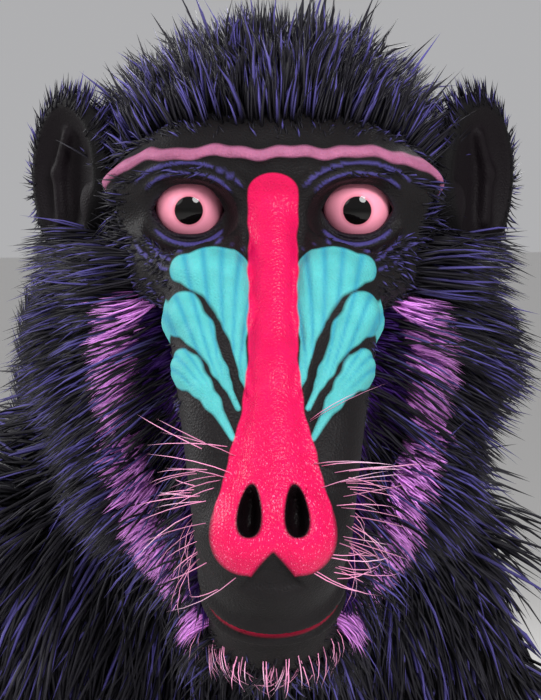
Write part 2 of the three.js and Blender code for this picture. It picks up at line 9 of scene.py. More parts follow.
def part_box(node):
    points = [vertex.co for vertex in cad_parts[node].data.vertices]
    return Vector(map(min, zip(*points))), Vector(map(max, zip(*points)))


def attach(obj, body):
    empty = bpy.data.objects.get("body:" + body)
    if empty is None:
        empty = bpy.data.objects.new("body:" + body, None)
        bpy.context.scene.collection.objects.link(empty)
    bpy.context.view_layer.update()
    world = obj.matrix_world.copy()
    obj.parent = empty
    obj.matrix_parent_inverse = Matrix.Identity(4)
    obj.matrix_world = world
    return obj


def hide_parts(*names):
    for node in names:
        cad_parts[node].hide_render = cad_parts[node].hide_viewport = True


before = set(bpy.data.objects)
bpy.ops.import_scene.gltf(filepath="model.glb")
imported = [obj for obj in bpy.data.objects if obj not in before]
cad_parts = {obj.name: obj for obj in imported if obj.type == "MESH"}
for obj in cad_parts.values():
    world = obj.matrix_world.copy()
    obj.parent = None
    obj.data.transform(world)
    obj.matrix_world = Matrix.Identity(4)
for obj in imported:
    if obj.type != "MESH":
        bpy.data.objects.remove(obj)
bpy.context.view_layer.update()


# Flesh, as smooth forms in millimetres before they are skinned.
# A male mandrill's head, long sloping muzzle, trunk and legs, each a blend of balls and tapered bars.
# The forms keep the solids' own sizes, drawn in by the depth of the coat where hair will grow.
def length(v):
    return np.linalg.norm(v, axis=1)


def spot(x, y, z):
    return np.array((x, y, z), float)


def ball(centre, radii):
    c, r = np.array(centre, float), np.array(radii, float)

    def form(p):
        q = p - c
        near = length(q / r)
        steep = np.maximum(length(q / r**2), 1e-6)
        return near * (near - 1) / steep

    return form


def bar(start, end, radius, end_radius=None):
    """A rod with round ends, which tapers where a second radius is given."""
    a = np.array(start, float)
    run = np.array(end, float) - a
    last = radius if end_radius is None else end_radius

    def form(p):
        q = p - a
        t = np.clip(q @ run / (run @ run), 0, 1)
        return length(q - t[:, None] * run) - (radius + (last - radius) * t)

    return form


def soft_min(a, b, width):
    """The nearer of two forms, with a fillet of the given width where they meet."""
    near = np.maximum(width - np.abs(a - b), 0) / width
    return np.minimum(a, b) - near * near * width * 0.25


def blend(width, *forms):
    def form(p):
        d = forms[0](p)
        for other in forms[1:]:
            d = soft_min(d, other(p), width)
        return d

    return form


def within(centre, reach, form):
    """The same form, worked out only near its own place, which is quicker."""
    margin = 40.0

    def near_form(p):
        away = length(p - centre)
        d = np.maximum(away - reach, margin)
        close = away < reach + margin
        if close.any():
            d[close] = form(p[close])
        return d

    return near_form


def smooth(value, low, high):
    t = np.clip((value - low) / (high - low), 0, 1)
    return t * t * (3 - 2 * t)


# The head
# Skull, brow, cheekbones, long sloping muzzle and lower jaw, all under one skin. Its own axes start midway
# between the eyes, and turn and bow with it.
head_origin = spot(-27, -312, 636)
head_yaw, head_pitch = math.radians(-15), math.radians(6)
to_head = np.array(Matrix.Rotation(head_yaw, 3, "Z") @ Matrix.Rotation(head_pitch, 3, "X"))
muzzle_length, muzzle_slope = 162.0, math.radians(57)
nose_root = spot(0, -14, 8)
down_muzzle = spot(0, -math.cos(muzzle_slope), -math.sin(muzzle_slope))
off_muzzle = spot(0, -math.sin(muzzle_slope), math.cos(muzzle_slope))
across = spot(1, 0, 0)


def head_place(p):
    return (p - head_origin) @ to_head


def on_muzzle(out, share, rise):
    return nose_root + out * across + share * muzzle_length * down_muzzle + rise * off_muzzle


def along_muzzle(p):
    """The share of the muzzle's length that a place has reached, and its rise off the bridge."""
    q = p - nose_root
    return q @ down_muzzle / muzzle_length, q @ off_muzzle


def both(make):
    return [make(side) for side in (1, -1)]


def flip(point, side):
    return spot(point[0] * side, point[1], point[2])


skull_form = blend(
    16,
    ball((0, 58, 6), (64, 70, 49)),
    ball((0, 14, 11), (57, 26, 25)),
    blend(
        8,
        *both(lambda s: bar((0, -7, 23), (36 * s, -1, 21), 9, 8)),
        *both(lambda s: bar((36 * s, -1, 21), (59 * s, 14, 8), 8, 7)),
    ),
    blend(10, *both(lambda s: bar(on_muzzle(26 * s, 0.15, -15), on_muzzle(15 * s, 0.84, -15), 19, 15))),
    bar(on_muzzle(0, 0.08, -58), on_muzzle(0, 0.87, -35), 42, 27),
    blend(12, *both(lambda s: bar((44 * s, 0, -22), (56 * s, 44, -14), 15, 14))),
    blend(12, *both(lambda s: ball((44 * s, 40, -58), (22, 34, 44)))),
    blend(
        16,
        bar((0, 26, -100), on_muzzle(0, 0.84, -63), 36, 25),
        ball(on_muzzle(0, 0.98, -62.5), (26, 20, 20)),
    ),
)
nose_form = blend(
    7,
    bar(on_muzzle(0, -0.13, -9), on_muzzle(0, 0.47, -7), 11, 11),
    bar(on_muzzle(0, 0.47, -7), on_muzzle(0, 0.8, -11), 11, 20),
    *both(lambda s: ball(on_muzzle(9.5 * s, 0.865, -9), (15, 15, 16))),
)


# The ridges
# Three fleshy lobes a side, each a leaf that widens from beside the nose to the cheekbone. A station is how
# far out it is, its share of the muzzle, its rise off the bridge and its radius.
ridge_stations = [
    [
        (34.4, 0.196, -3.3, 6.0),
        (26.3, 0.21, -3.1, 10.1),
        (22.0, 0.217, -5.5, 12.5),
        (16.6, 0.317, -6.3, 10.6),
        (15.7, 0.364, -1.4, 3.8),
        (10.8, 0.49, 0.6, 0.9),
        (9.1, 0.538, 1.8, 0.4),
    ],
    [
        (31.8, 0.303, -11.1, 12.9),
        (32.4, 0.309, -7.2, 9.5),
        (28.2, 0.366, -2.5, 6.2),
        (20.7, 0.477, 0.6, 2.3),
        (18.3, 0.508, 1.6, 0.8),
        (13.6, 0.572, 1.0, 0.4),
    ],
    [
        (31.8, 0.441, -9.8, 8.8),
        (30.4, 0.462, -6.9, 7.4),
        (27.2, 0.509, -2.4, 4.0),
        (23.3, 0.555, -0.4, 2.5),
        (15.5, 0.65, 1.3, 0.4),
    ],
]
groove_root_out, groove_root_share, groove_start = 14, 0.62, (14, 34)
grooves_in_turn, groove_curl, groove_depth = 62, 0.0016, 0.4


def ridge_lobe(stations, side):
    places = [(on_muzzle(out * side, share, rise), radius) for out, share, rise, radius in stations]
    return blend(3, *[bar(a, b, r, t) for (a, r), (b, t) in zip(places, places[1:])])


ridge_lobes = [ridge_lobe(stations, side) for side in (1, -1) for stations in ridge_stations]


def ridge_form(p):
    return np.min([lobe(p) for lobe in ridge_lobes], axis=0)


def ridge_grooves(p):
    """Fine grooves that fan out along the lobes, 1 in a groove and 0 on the skin between."""
    q = p - nose_root
    out = np.abs(q[:, 0]) - groove_root_out
    up = groove_root_share * muzzle_length - q @ down_muzzle
    away = np.hypot(out, up)
    turn = np.arctan2(out, up) + groove_curl * away
    line = (0.5 + 0.5 * np.cos(turn * grooves_in_turn)) ** 3
    return line * smooth(away, *groove_start)


# Lids
# Almond lids round each eyeball, carried straight forward from it, with soft rings of loose skin over and
# under them.
eye_out, eye_in, eye_radius = 34.0, 10.0, 15.0
eye_centres = both(lambda s: spot(eye_out * s, eye_in, 0))
lid_width, lid_up, lid_down, lid_thickness = 14.5, 11.2, 9.6, 2.6
lid_squareness = 3.2
socket_out, socket_size = 35, (20, 17, 15)
first_fold_under, first_fold_over, fold_spacing, fold_reach, fold_height = 13.2, 16.7, 4.2, 27, 0.45


def from_eyes(p):
    return np.min([length(p - c) for c in eye_centres], axis=0)


def lid_opening(p):
    """Below zero inside the almond between the lids."""
    found = np.full(len(p), 1e3)
    for c in eye_centres:
        x, y, z = (p - c).T
        arch = 1 - np.abs(np.clip(x / lid_width, -1, 1)) ** lid_squareness
        d = np.maximum(np.maximum(z - lid_up * arch, -lid_down * arch - z), np.abs(x) - lid_width)
        found = np.minimum(found, np.maximum(d * 0.8, y + 2))
    return found


def lid_folds(p):
    """The rings of loose skin, 1 along a ring's crest and -1 between two."""
    fold = np.zeros(len(p))
    clear = smooth(ridge_form(p), 0, 3)
    for c in eye_centres:
        x, y, z = (p - c).T
        r = np.hypot(x / 1.25, z)
        first = np.where(z < 0, first_fold_under, first_fold_over)
        around = smooth(r, first - 2.6, first - 1) * smooth(fold_reach - r, 0, 6) * (y < 6)
        around *= smooth(np.abs(z) / np.maximum(r, 1), 0.35, 0.75) * clear
        fold += around * np.cos(2 * math.pi * (r - first) / fold_spacing)
    return fold


# Brow band
# A raised band across the brow, wavy along its edges, which ends over each temple. Its mauve colour is a
# painted highlight along the brow ridge.
brow_middle = spot(0, 40, 24)
brow_height, brow_spread, brow_end = 2.8, 3.1, 1.42
brow_slope, brow_fall = 0.026, 0.1
brow_wave, brow_ripple = 0.7, 0.4


def brow_offset(p):
    """How far a place lies above the line of the brow band, and how far round the head it is."""
    x, y, z = (p - brow_middle).T
    turn = np.arctan2(x, -y)
    line = brow_slope - brow_fall * turn**4
    return z - np.hypot(x, y) * line, turn


def brow_band(p):
    off, turn = brow_offset(p)
    off = off - brow_wave * np.sin(turn * 13) - brow_ripple * np.sin(turn * 29 + 1)
    return np.exp(-((off / brow_spread) ** 2)) * smooth(brow_end - np.abs(turn), 0, 0.1) * (p[:, 1] < 60)


# Mouth
# A closed mouth with thin lips, whose line bows down at its corners as it runs round the muzzle.
mouth_depth, mouth_half, mouth_bow = 39.3, 27, 5.4
mouth_front = on_muzzle(0, 0.93, -mouth_depth)
mouth_middle = on_muzzle(0, 0.66, -mouth_depth)
lip_height, lip_offset, lip_spread = 2.4, 3.3, 2.6
mouth_cut, mouth_cut_spread = 3.6, 1.3


def mouth_line(p):
    """How far a point lies above the line of the mouth, and how much of the mouth it has."""
    off = (p - mouth_front) @ off_muzzle + mouth_bow * np.clip(np.abs(p[:, 0]) / mouth_half, 0, 1.1) ** 2
    q = p - mouth_middle
    turn = np.abs(np.arctan2(q[:, 0], q @ down_muzzle))
    return off, smooth(1.9 - turn, 0, 0.35)


# Nostrils and nose cleft
# Two tear-shaped holes in the nose's pad, narrower at the bottom, and a cleft under its middle that runs down
# to the upper lip.
nostril_out, nostril_share, nostril_rise, nostril_lean = 9, 0.842, 7, 0.06
nostril_size, nostril_narrowing = (3.8, 13.0, 10.0), 0.32
cleft_half, cleft_start, cleft_run, cleft_depth = 9.5, 0.93, 0.04, 2.0


def nostril_form(side):
    c = on_muzzle(nostril_out * side, nostril_share, nostril_rise)
    tall = math.cos(nostril_lean) * down_muzzle + math.sin(nostril_lean) * side * across
    wide = np.cross(tall, off_muzzle)
    hole = ball((0, 0, 0), nostril_size)
    turned = np.array([wide, off_muzzle, tall])

    def form(p):
        q = (p - c) @ turned.T
        q[:, 0] *= 1 - nostril_narrowing * np.clip(q[:, 2] / nostril_size[2], -1, 1)
        return hole(q)

    return form


nostrils = blend(1, *both(nostril_form))


def nose_notch(p):
    """The cleft under the middle of the nose: how far inside it a place is."""
    share, rise = along_muzzle(p)
    half = cleft_half * (share - cleft_start) / cleft_run
    return np.min([half - np.abs(p[:, 0]), (1 - share) * muzzle_length, rise + 18], axis=0)


def face_form(p):
    d = soft_min(skull_form(p), nose_form(p), 4)
    d = soft_min(d, ridge_form(p) + groove_depth * ridge_grooves(p), 2)
    d -= brow_height * brow_band(p)
    sockets = np.min([ball((socket_out * s, -14, -1), socket_size)(p) for s in (1, -1)], axis=0)
    d = -soft_min(-d, sockets, 5)
    lids = from_eyes(p) - eye_radius - lid_thickness
    d = soft_min(d, lids, 5) - fold_height * lid_folds(p)
    d = np.maximum(d, -lid_opening(p))
    d = -soft_min(-d, nostrils(p), 2.5)
    d += cleft_depth * smooth(nose_notch(p), -1, 1.5)
    off, open_mouth = mouth_line(p)
    lips = lip_height * np.exp(-(((np.abs(off) - lip_offset) / lip_spread) ** 2))
    lips -= mouth_cut * np.exp(-((off / mouth_cut_spread) ** 2))
    return d - lips * open_mouth


# The cheeks' flesh under the ruff
# A full roll of flesh and fur from beside each ear down to the jaw's corner, which carries the ruff.
# Its radii are the ruff's own, drawn in by the depth of the hair.
ruff_line = [spot(64, 50, -20), spot(70, 54, -66), spot(56, 32, -116), spot(30, 2, -150)]
ruff_radii = (15, 19, 18, 12)
ruff_coat = 8
ruff_rolls = []
for s in (1, -1):
    line = [flip(q, s) for q in ruff_line]
    for i in range(3):
        ruff_rolls.append(bar(line[i], line[i + 1], ruff_radii[i] - ruff_coat, ruff_radii[i + 1] - ruff_coat))
ruff_core = blend(16, *ruff_rolls)


def head_form(p):
    q = head_place(p)
    return soft_min(face_form(q), ruff_core(q), 12)


# Neck, trunk, rump and tail
# A deep narrow chest, high withers and a lower rump, drawn in by the depth of the hair on each. The rump is
# bare, with two sitting pads, and the tail is a short upright stump.
withers, rump_height, chest_front, rump_back = 568.0, 516.0, -226.0, 330.0
chest_depth, chest_width = 264.0, 242.0
trunk_coat, neck_coat, tail_coat = 15.0, 20.0, 9
chest_middle = withers - chest_depth / 2 - 4
neck_top = spot(head_origin[0] / 2, -228, 584)
neck_base = spot(0, -150, 504)
neck_form = blend(30, bar(neck_base, neck_top, 84, 64), ball((neck_top[0], -204, 604), (54, 50, 46)))
trunk_form = blend(
    46,
    ball((0, chest_front + 155, chest_middle - 8), (chest_width / 2, 155, chest_depth / 2)),
    ball((0, chest_front + 118, withers - 52), (76, 92, 50)),
    *both(lambda s: ball((68 * s, chest_front + 98, 462), (50, 70, 66))),
    ball((0, 95, 424), (106, 150, 108)),
    ball((0, rump_back - 106, rump_height - 98), (104, 106, 98)),
)
rump_bare = ball((0, rump_back - 12, rump_height - 104), (60, 60, 70))
pad_form = blend(6, *both(lambda s: ball((29 * s, rump_back - 13, rump_height - 118), (19, 11, 30))))
tail_root = spot(0, rump_back - 30, rump_height - 30)
tail_tip = spot(0, rump_back, rump_height + 38)
tail_form = bar(tail_root, tail_tip, 24, 16)


def at_rump(p, reach=80):
    return p[:, 1] > rump_back - reach


# Legs, hands and feet
# Long forelegs on flat hands and stout hind legs on long soles, with four digits and a thumb or big toe each.
# One hand and one foot stand a little ahead of the other, by the stance's millimetres.
stance = {("fore", 1): -22, ("fore", -1): 14, ("hind", 1): 18, ("hind", -1): -22}
upper_coat = 16.0
bare_foot_height = 105.0


def digit_bones(side, knuckles, reach, spread, radius, height):
    bones = []
    for i in range(4):
        share = (i / 3 - 0.5) * 2
        root = spot(knuckles[0] + side * share * spread, knuckles[1], knuckles[2])
        long = reach * (1 - 0.14 * (share - 0.1) ** 2)
        middle = root + (share * side * 3, -long * 0.5, height + 5 - root[2])
        tip = root + (share * side * 5, -long, height - root[2])
        bones.append((root, middle, tip, radius))
    return bones


def digit_forms(bones):
    """Each finger or toe, a little thicker at its joints and at the pad of its tip."""
    forms = []
    for a, b, c, r in bones:
        joint, tip = ball(b, (r, r, r)), ball(c, (r - 0.8, r, r - 1.2))
        forms.append(blend(4, bar(a, b, r + 1.2, r - 0.4), bar(b, c, r - 0.2, r - 1.4), joint, tip))
    return forms


def foreleg(side):
    shift = stance["fore", side]
    shoulder = spot(side * 98, -128, 432)
    elbow = spot(side * 116, -96 + shift * 0.4, 270)
    wrist = spot(side * 110, -160 + shift, 96)
    knuckles = spot(side * 112, -196 + shift, 26)
    thumb = [(92, -176, 42), (84, -194, 24), (76, -208, 8.2)]
    thumb = [spot(side * x, y + shift, z) for x, y, z in thumb]
    return dict(
        upper=blend(
            26,
            ball(shoulder, (44, 66, 92)),
            bar((side * 104, -142, 400), elbow, 54, 45),
            ball((side * 116, -70 + shift * 0.4, 286), (26, 26, 34)),
        ),
        lower=blend(18, bar(elbow, wrist, 45, 27), ball((side * 118, -90 + shift * 0.4, 244), (47, 49, 60))),
        palm=blend(
            10,
            bar(wrist, knuckles, 22, 16),
            ball((knuckles[0], knuckles[1] + 4, 14), (34, 19, 14.5)),
        ),
        bones=digit_bones(side, (knuckles[0], knuckles[1], 18), 70, 26, 8.5, 7) + [(*thumb, 9.6)],
        top=elbow,
        bottom=wrist,
    )


def hindleg(side):
    shift = stance["hind", side]
    knee = spot(side * 116, 126 + shift * 0.5, 262)
    ankle = spot(side * 106, 238 + shift, 92)
    heel = spot(side * 106, 258 + shift, 25)
    sole = spot(side * 112, 150 + shift, 20)
    big_toe = [(88, 190, 22), (75, 168, 17), (62, 146, 10)]
    big_toe = [spot(side * x, y + shift, z) for x, y, z in big_toe]
    return dict(
        upper=blend(30, ball((side * 84, 208, 396), (46, 88, 104)), bar((side * 92, 190, 380), knee, 66, 48)),
        lower=blend(20, bar(knee, ankle, 46, 24), ball((side * 114, 158 + shift * 0.6, 222), (39, 43, 52))),
        palm=blend(
            14,
            bar(ankle, heel, 21, 22),
            bar((side * 106, 240 + shift, 34), sole, 26, 18),
            ball((sole[0], sole[1], 14.5), (35, 26, 15.5)),
        ),
        bones=digit_bones(side, (sole[0], sole[1], 16), 66, 27, 8.8, 7.4) + [(*big_toe, 10.8)],
        top=knee,
        bottom=ankle,
    )


def leg_form(leg):
    fingers = blend(3, *digit_forms(leg["bones"]))

    def form(p):
        thin = upper_coat * 0.55 * smooth(p[:, 2], bare_foot_height - 20, leg["top"][2] - 40)
        d = soft_min(leg["upper"](p) + upper_coat, leg["lower"](p) + thin + 1.5, 20)
        foot = soft_min(leg["palm"](p), fingers(p), 5)
        return soft_min(d, foot, 12)

    return form


legs = {("fore", s): foreleg(s) for s in (1, -1)} | {("hind", s): hindleg(s) for s in (1, -1)}
leg_forms = {}
for key, leg in legs.items():
    leg_middle = (leg["top"] + leg["bottom"]) / 2 + (0, 0, 20)
    leg_forms[key] = within(leg_middle, 290, leg_form(leg))
near_head = within(head_origin + (10, 40, -50), 190, head_form)


def trunk_skin(p):
    d = soft_min(trunk_form(p) + trunk_coat, neck_form(p) + neck_coat, 30)
    bare = smooth(-rump_bare(p), -14, 4)
    d -= (trunk_coat - 3) * bare * at_rump(p, 90)
    d = soft_min(d, pad_form(p), 6)
    return soft_min(d, tail_form(p) + tail_coat, 10)


def skin_form(p):
    d = soft_min(trunk_skin(p), near_head(p), 26)
    for form in leg_forms.values():
        d = soft_min(d, form(p), 22)
    return np.maximum(d, 0.4 - p[:, 2])


# The skin's mesh
# One closed net of quads over all the flesh, as a hide is stretched over a taxidermist's form. It is split
# finer on the head, hands and feet, finer again on the face, and finest at the lids, lips and ridges' edges.
def net_over(form, low, high, step, coarse=4):
    """One closed quad mesh on a form's surface, its vertices at the middle of the crossings."""
    wide = step * coarse
    blocks = np.ceil((np.array(high) - low) / wide).astype(int) + 1
    axes = [low[i] + wide * np.arange(blocks[i]) for i in range(3)]
    grid = np.stack(np.meshgrid(*axes, indexing="ij"), -1).reshape(-1, 3)
    rough = form(grid).reshape(blocks)
    field = rough.repeat(coarse, 0).repeat(coarse, 1).repeat(coarse, 2)
    shape = np.array(field.shape)
    offset = (coarse - 1) / 2 * step
    near = np.argwhere(np.abs(field) < wide * 1.6)
    field[tuple(near.T)] = form(np.array(low) - offset + near * step)
    corners = [(i, j, k) for i in (0, 1) for j in (0, 1) for k in (0, 1)]
    cells = shape - 1
    cut = lambda c: field[c[0] : c[0] + cells[0], c[1] : c[1] + cells[1], c[2] : c[2] + cells[2]]
    below = sum((cut(c) < 0).astype(np.int8) for c in corners)
    active = (below > 0) & (below < 8)
    where = np.argwhere(active)
    number = np.full(cells, -1)
    number[active] = np.arange(len(where))
    values = {c: cut(c)[active] for c in corners}
    total, crossings = np.zeros((len(where), 3)), np.zeros(len(where))
    for a in corners:
        for axis in range(3):
            if a[axis]:
                continue
            b = tuple(a[i] + (i == axis) for i in range(3))
            cross = (values[a] < 0) != (values[b] < 0)
            t = values[a] / np.where(cross, values[a] - values[b], 1)
            point = np.array(a, float) + t[:, None] * (np.array(b) - np.array(a))
            total += point * cross[:, None]
            crossings += cross
    points = np.array(low) - offset + (where + total / crossings[:, None]) * step
    faces = []
    for axis in range(3):
        one, two = [(1, 2), (2, 0), (0, 1)][axis]
        here = field[: cells[0], : cells[1], : cells[2]]
        there = field[tuple(slice(int(i == axis), cells[i] + int(i == axis)) for i in range(3))]
        crossing = np.argwhere((here < 0) != (there < 0))
        crossing = crossing[(crossing[:, one] > 0) & (crossing[:, two] > 0)]
        outward = here[tuple(crossing.T)] < 0
        shifts = [(0, 0), (-1, 0), (-1, -1), (0, -1)]
        ring = []
        for s, t in shifts:
            at = crossing.copy()
            at[:, one] += s
            at[:, two] += t
            ring.append(number[tuple(at.T)])
        ring = np.stack(ring, 1)
        ring[~outward] = ring[~outward][:, ::-1]
        faces.append(ring)
    return points, np.concatenate(faces)


def gradient(form, p, d, reach=0.15):
    return np.stack([(form(p + reach * e) - d) / reach for e in np.eye(3)], 1)


def settle(p, form, rounds=4, limit=2.5):
    for _ in range(rounds):
        d = form(p)
        g = gradient(form, p, d)
        steep = np.maximum((g * g).sum(1), 0.3)
        p = p - np.clip(d, -limit, limit)[:, None] * g / steep[:, None]
    return p


def refine(points, faces, chosen, form, rounds=3):
    """Splits the chosen part of a mesh twice as fine and settles it on the form again."""
    mesh = bmesh.new()
    verts = [mesh.verts.new(p) for p in points]
    for face in faces:
        mesh.faces.new([verts[i] for i in face])
    keep = chosen(points)
    mesh.verts.index_update()
    edges = [e for e in mesh.edges if keep[e.verts[0].index] and keep[e.verts[1].index]]
    bmesh.ops.subdivide_edges(mesh, edges=edges, cuts=1, use_grid_fill=True)
    many = [f for f in mesh.faces if len(f.verts) > 4]
    bmesh.ops.triangulate(mesh, faces=many)
    mesh.verts.index_update()
    fine = np.array([v.co for v in mesh.verts])
    new_faces = [[v.index for v in f.verts] for f in mesh.faces]
    mesh.free()
    moved = chosen(fine)
    fine[moved] = settle(fine[moved], form, rounds)
    return fine, new_faces


def on_bare_parts(p):
    """The head, the hands and the feet."""
    q = head_place(p)
    head = (q[:, 1] < 40) & (q[:, 2] > -190) & (length(q - (0, 0, -40)) < 175)
    return head | (p[:, 2] < 62)


def on_face(p):
    q = head_place(p)
    nose_and_ridges = np.minimum(nose_form(q), ridge_form(q)) < 6
    off, mouth = mouth_line(q)
    lips = (np.abs(off) < 9) & (mouth > 0.05) & (q[:, 1] < 30)
    strip_top = (np.abs(q[:, 0]) < 15) & (q[:, 2] > 0) & (q[:, 2] < 24) & (q[:, 1] < 10)
    return nose_and_ridges | (from_eyes(q) < 34) | lips | strip_top | (brow_band(q) > 0.05)


def on_fine_edges(p):
    """The lids, the lips and the clefts between the ridges, which need the finest mesh."""
    q = head_place(p)
    at_lids = (lid_opening(q) < 4) & (from_eyes(q) < 21)
    off, mouth = mouth_line(q)
    at_lips = (np.abs(off + 0.5) < 2.2) & (mouth > 0.3) & (q[:, 1] < -70)
    nearest_lobes = np.sort([lobe(q) for lobe in ridge_lobes], axis=0)
    in_cleft = (nearest_lobes[1] < 2.6) & (nearest_lobes[0] > -1.5) & (q[:, 1] < 0)
    return at_lids | at_lips | in_cleft


body_low, body_high, body_step = (-190, -420, -12), (190, 380, 740), 4.0
skin_points, skin_faces = net_over(skin_form, body_low, body_high, body_step)
skin_points = settle(skin_points, skin_form)
for chosen in (on_bare_parts, on_face, on_fine_edges):
    skin_points, skin_faces = refine(skin_points, skin_faces, chosen, skin_form)
skin_triangles = []
for face in skin_faces:
    skin_triangles.append((face[0], face[1], face[2]))
    if len(face) > 3:
        skin_triangles.append((face[0], face[2], face[3]))
skin_triangles = np.array(skin_triangles)
corner_points = skin_points[skin_triangles]
face_normals = np.cross(corner_points[:, 1] - corner_points[:, 0], corner_points[:, 2] - corner_points[:, 0])
skin_areas = np.linalg.norm(face_normals, axis=1) / 2
skin_middles = corner_points.mean(1)
skin_normals = np.zeros_like(skin_points)
for corner in range(3):
    np.add.at(skin_normals, skin_triangles[:, corner], face_normals)


def unit(v):
    return v / np.maximum(np.linalg.norm(v, axis=-1, keepdims=True), 1e-9)


skin_normals = unit(skin_normals)


# Where the part stands in the frame, and the camera
# The eyes' solids say where the head is. The camera looks at the face squarely, a little from above.
mm = 0.001
eye_low, eye_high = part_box("eye_left")
shift = np.array((eye_low + eye_high) / 2) - (head_origin + eye_centres[0] @ to_head.T) * mm


def in_frame(p):
    return np.asarray(p) * mm + shift


def head_to_body(p):
    return np.asarray(p) @ to_head.T + head_origin


camera_rise = math.radians(4)
camera_distance = 1.25
picture_height = 700
size_of_pixel = 0.405 * mm
eyes_above_middle, eyes_right_of_middle = 140, 2.5
ahead = np.array([math.sin(head_yaw), -math.cos(head_yaw), 0])
overhead = np.array([0, 0, 1.0])
to_camera = ahead * math.cos(camera_rise) + overhead * math.sin(camera_rise)
camera_up = overhead * math.cos(camera_rise) - ahead * math.sin(camera_rise)
camera_right = np.cross(camera_up, to_camera)
off_centre = eyes_above_middle * camera_up + eyes_right_of_middle * camera_right
aim = in_frame(head_origin) - size_of_pixel * off_centre
camera = bpy.data.objects.new("camera", bpy.data.cameras.new("camera"))
bpy.context.scene.collection.objects.link(camera)
columns = [*zip(camera_right, camera_up, to_camera, aim + to_camera * camera_distance)]
camera.matrix_world = Matrix([[float(v) for v in row] for row in columns] + [[0, 0, 0, 1]])
camera.data.sensor_fit = "VERTICAL"
camera.data.sensor_height = 36
camera.data.lens = 36 * camera_distance / (picture_height * size_of_pixel)
bpy.context.scene.camera = camera


# The skin's finish
# Bare skin is charcoal, with a crimson nose, blue ridges, a mauve band on the brow that is a painted
# highlight along its ridge, violet folds round the eyes and a violet rump with pink pads. Each marking is
# worked out from the form it lies on, and ends where that ends.
def add_node(tree, kind, inputs, **settings):
    made = tree.nodes.new(kind)
    for key, value in settings.items():
        setattr(made, key, value)
    for key, value in inputs.items():
        if isinstance(value, bpy.types.NodeSocket):
            tree.links.new(value, made.inputs[key])
        else:
            made.inputs[key].default_value = value
    return made


def new_group(name, inputs, output, output_kind):
    tree = bpy.data.node_groups.new(name, "ShaderNodeTree")
    for label, value in inputs.items():
        kind = "NodeSocketFloat" if isinstance(value, float) else "NodeSocketColor"
        tree.interface.new_socket(name=label, in_out="INPUT", socket_type=kind).default_value = value
    tree.interface.new_socket(name=output, in_out="OUTPUT", socket_type=output_kind)
    return tree, tree.nodes.new("NodeGroupInput").outputs, tree.nodes.new("NodeGroupOutput").inputs[output]


def place_group(tree, group, inputs):
    return add_node(tree, "ShaderNodeGroup", inputs, node_tree=group).outputs[0]


def mixed(tree, factor, one, other):
    return add_node(tree, "ShaderNodeMix", {0: factor, 6: one, 7: other}, data_type="RGBA").outputs[2]


def maths(tree, operation, *values):
    return add_node(tree, "ShaderNodeMath", dict(enumerate(values)), operation=operation).outputs[0]


def noise(tree, inputs):
    return add_node(tree, "ShaderNodeTexNoise", inputs).outputs["Fac"]


def remapped(tree, value, low, high, new_low=0.0, new_high=1.0):
    inputs = {"Value": value, "From Min": low, "From Max": high, "To Min": new_low, "To Max": new_high}
    return add_node(tree, "ShaderNodeMapRange", inputs).outputs["Result"]


def scaled(tree, tone, factor):
    return add_node(tree, "ShaderNodeVectorMath", {0: tone, "Scale": factor}, operation="SCALE").outputs[0]


def point_value(tree, name):
    return add_node(tree, "ShaderNodeAttribute", {}, attribute_name=name).outputs["Fac"]


def marked(tree, name, soft=0.3):
    """The mask of a marking whose point value is how far inside its edge a place is, in millimetres."""
    return remapped(tree, point_value(tree, name), -soft, soft)


def new_material(name):
    material = bpy.data.materials.new(name)
    material.use_nodes = True
    return material, material.node_tree, material.node_tree.nodes["Principled BSDF"]


def set_sockets(node, values):
    for name, value in values.items():
        node.inputs[name].default_value = value


def colour(r, g, b):
    return (r, g, b, 1.0)


uneven_inputs = {"Color": colour(0.5, 0.5, 0.5), "Amount": 0.3, "Scale": 60.0}
uneven, given, result = new_group("uneven_tone", uneven_inputs, "Color", "NodeSocketColor")
where = add_node(uneven, "ShaderNodeTexCoord", {}).outputs["Object"]
patches = noise(uneven, {"Vector": where, "Scale": given["Scale"], "Detail": 4.0, "Roughness": 0.6})
swing = maths(uneven, "MULTIPLY", maths(uneven, "SUBTRACT", patches, 0.5), given["Amount"])
factor = maths(uneven, "MULTIPLY_ADD", swing, 2.0, 1.0)
uneven.links.new(scaled(uneven, given["Color"], factor), result)

grain_inputs = {"Scale": 900.0, "Creases": 0.5}
grain, given, result = new_group("skin_grain", grain_inputs, "Height", "NodeSocketFloat")
where = add_node(grain, "ShaderNodeTexCoord", {}).outputs["Object"]
cell_inputs = {"Vector": where, "Scale": given["Scale"]}
cells = add_node(grain, "ShaderNodeTexVoronoi", cell_inputs, feature="DISTANCE_TO_EDGE")
edges = maths(grain, "MULTIPLY", cells.outputs["Distance"], 2.0)
softer = noise(grain, {"Vector": where, "Scale": 220.0, "Detail": 5.0})
height = maths(grain, "ADD", edges, maths(grain, "MULTIPLY", softer, given["Creases"]))
grain.links.new(height, result)


def uneven_tone(tree, tone, amount, scale):
    return place_group(tree, uneven, {"Color": colour(*tone), "Amount": amount, "Scale": scale})


def add_relief(tree, shader, scale, creases, strength, depth):
    relief = place_group(tree, grain, {"Scale": scale, "Creases": creases})
    bump = add_node(tree, "ShaderNodeBump", {"Height": relief, "Strength": strength, "Distance": depth})
    tree.links.new(bump.outputs["Normal"], shader.inputs["Normal"])


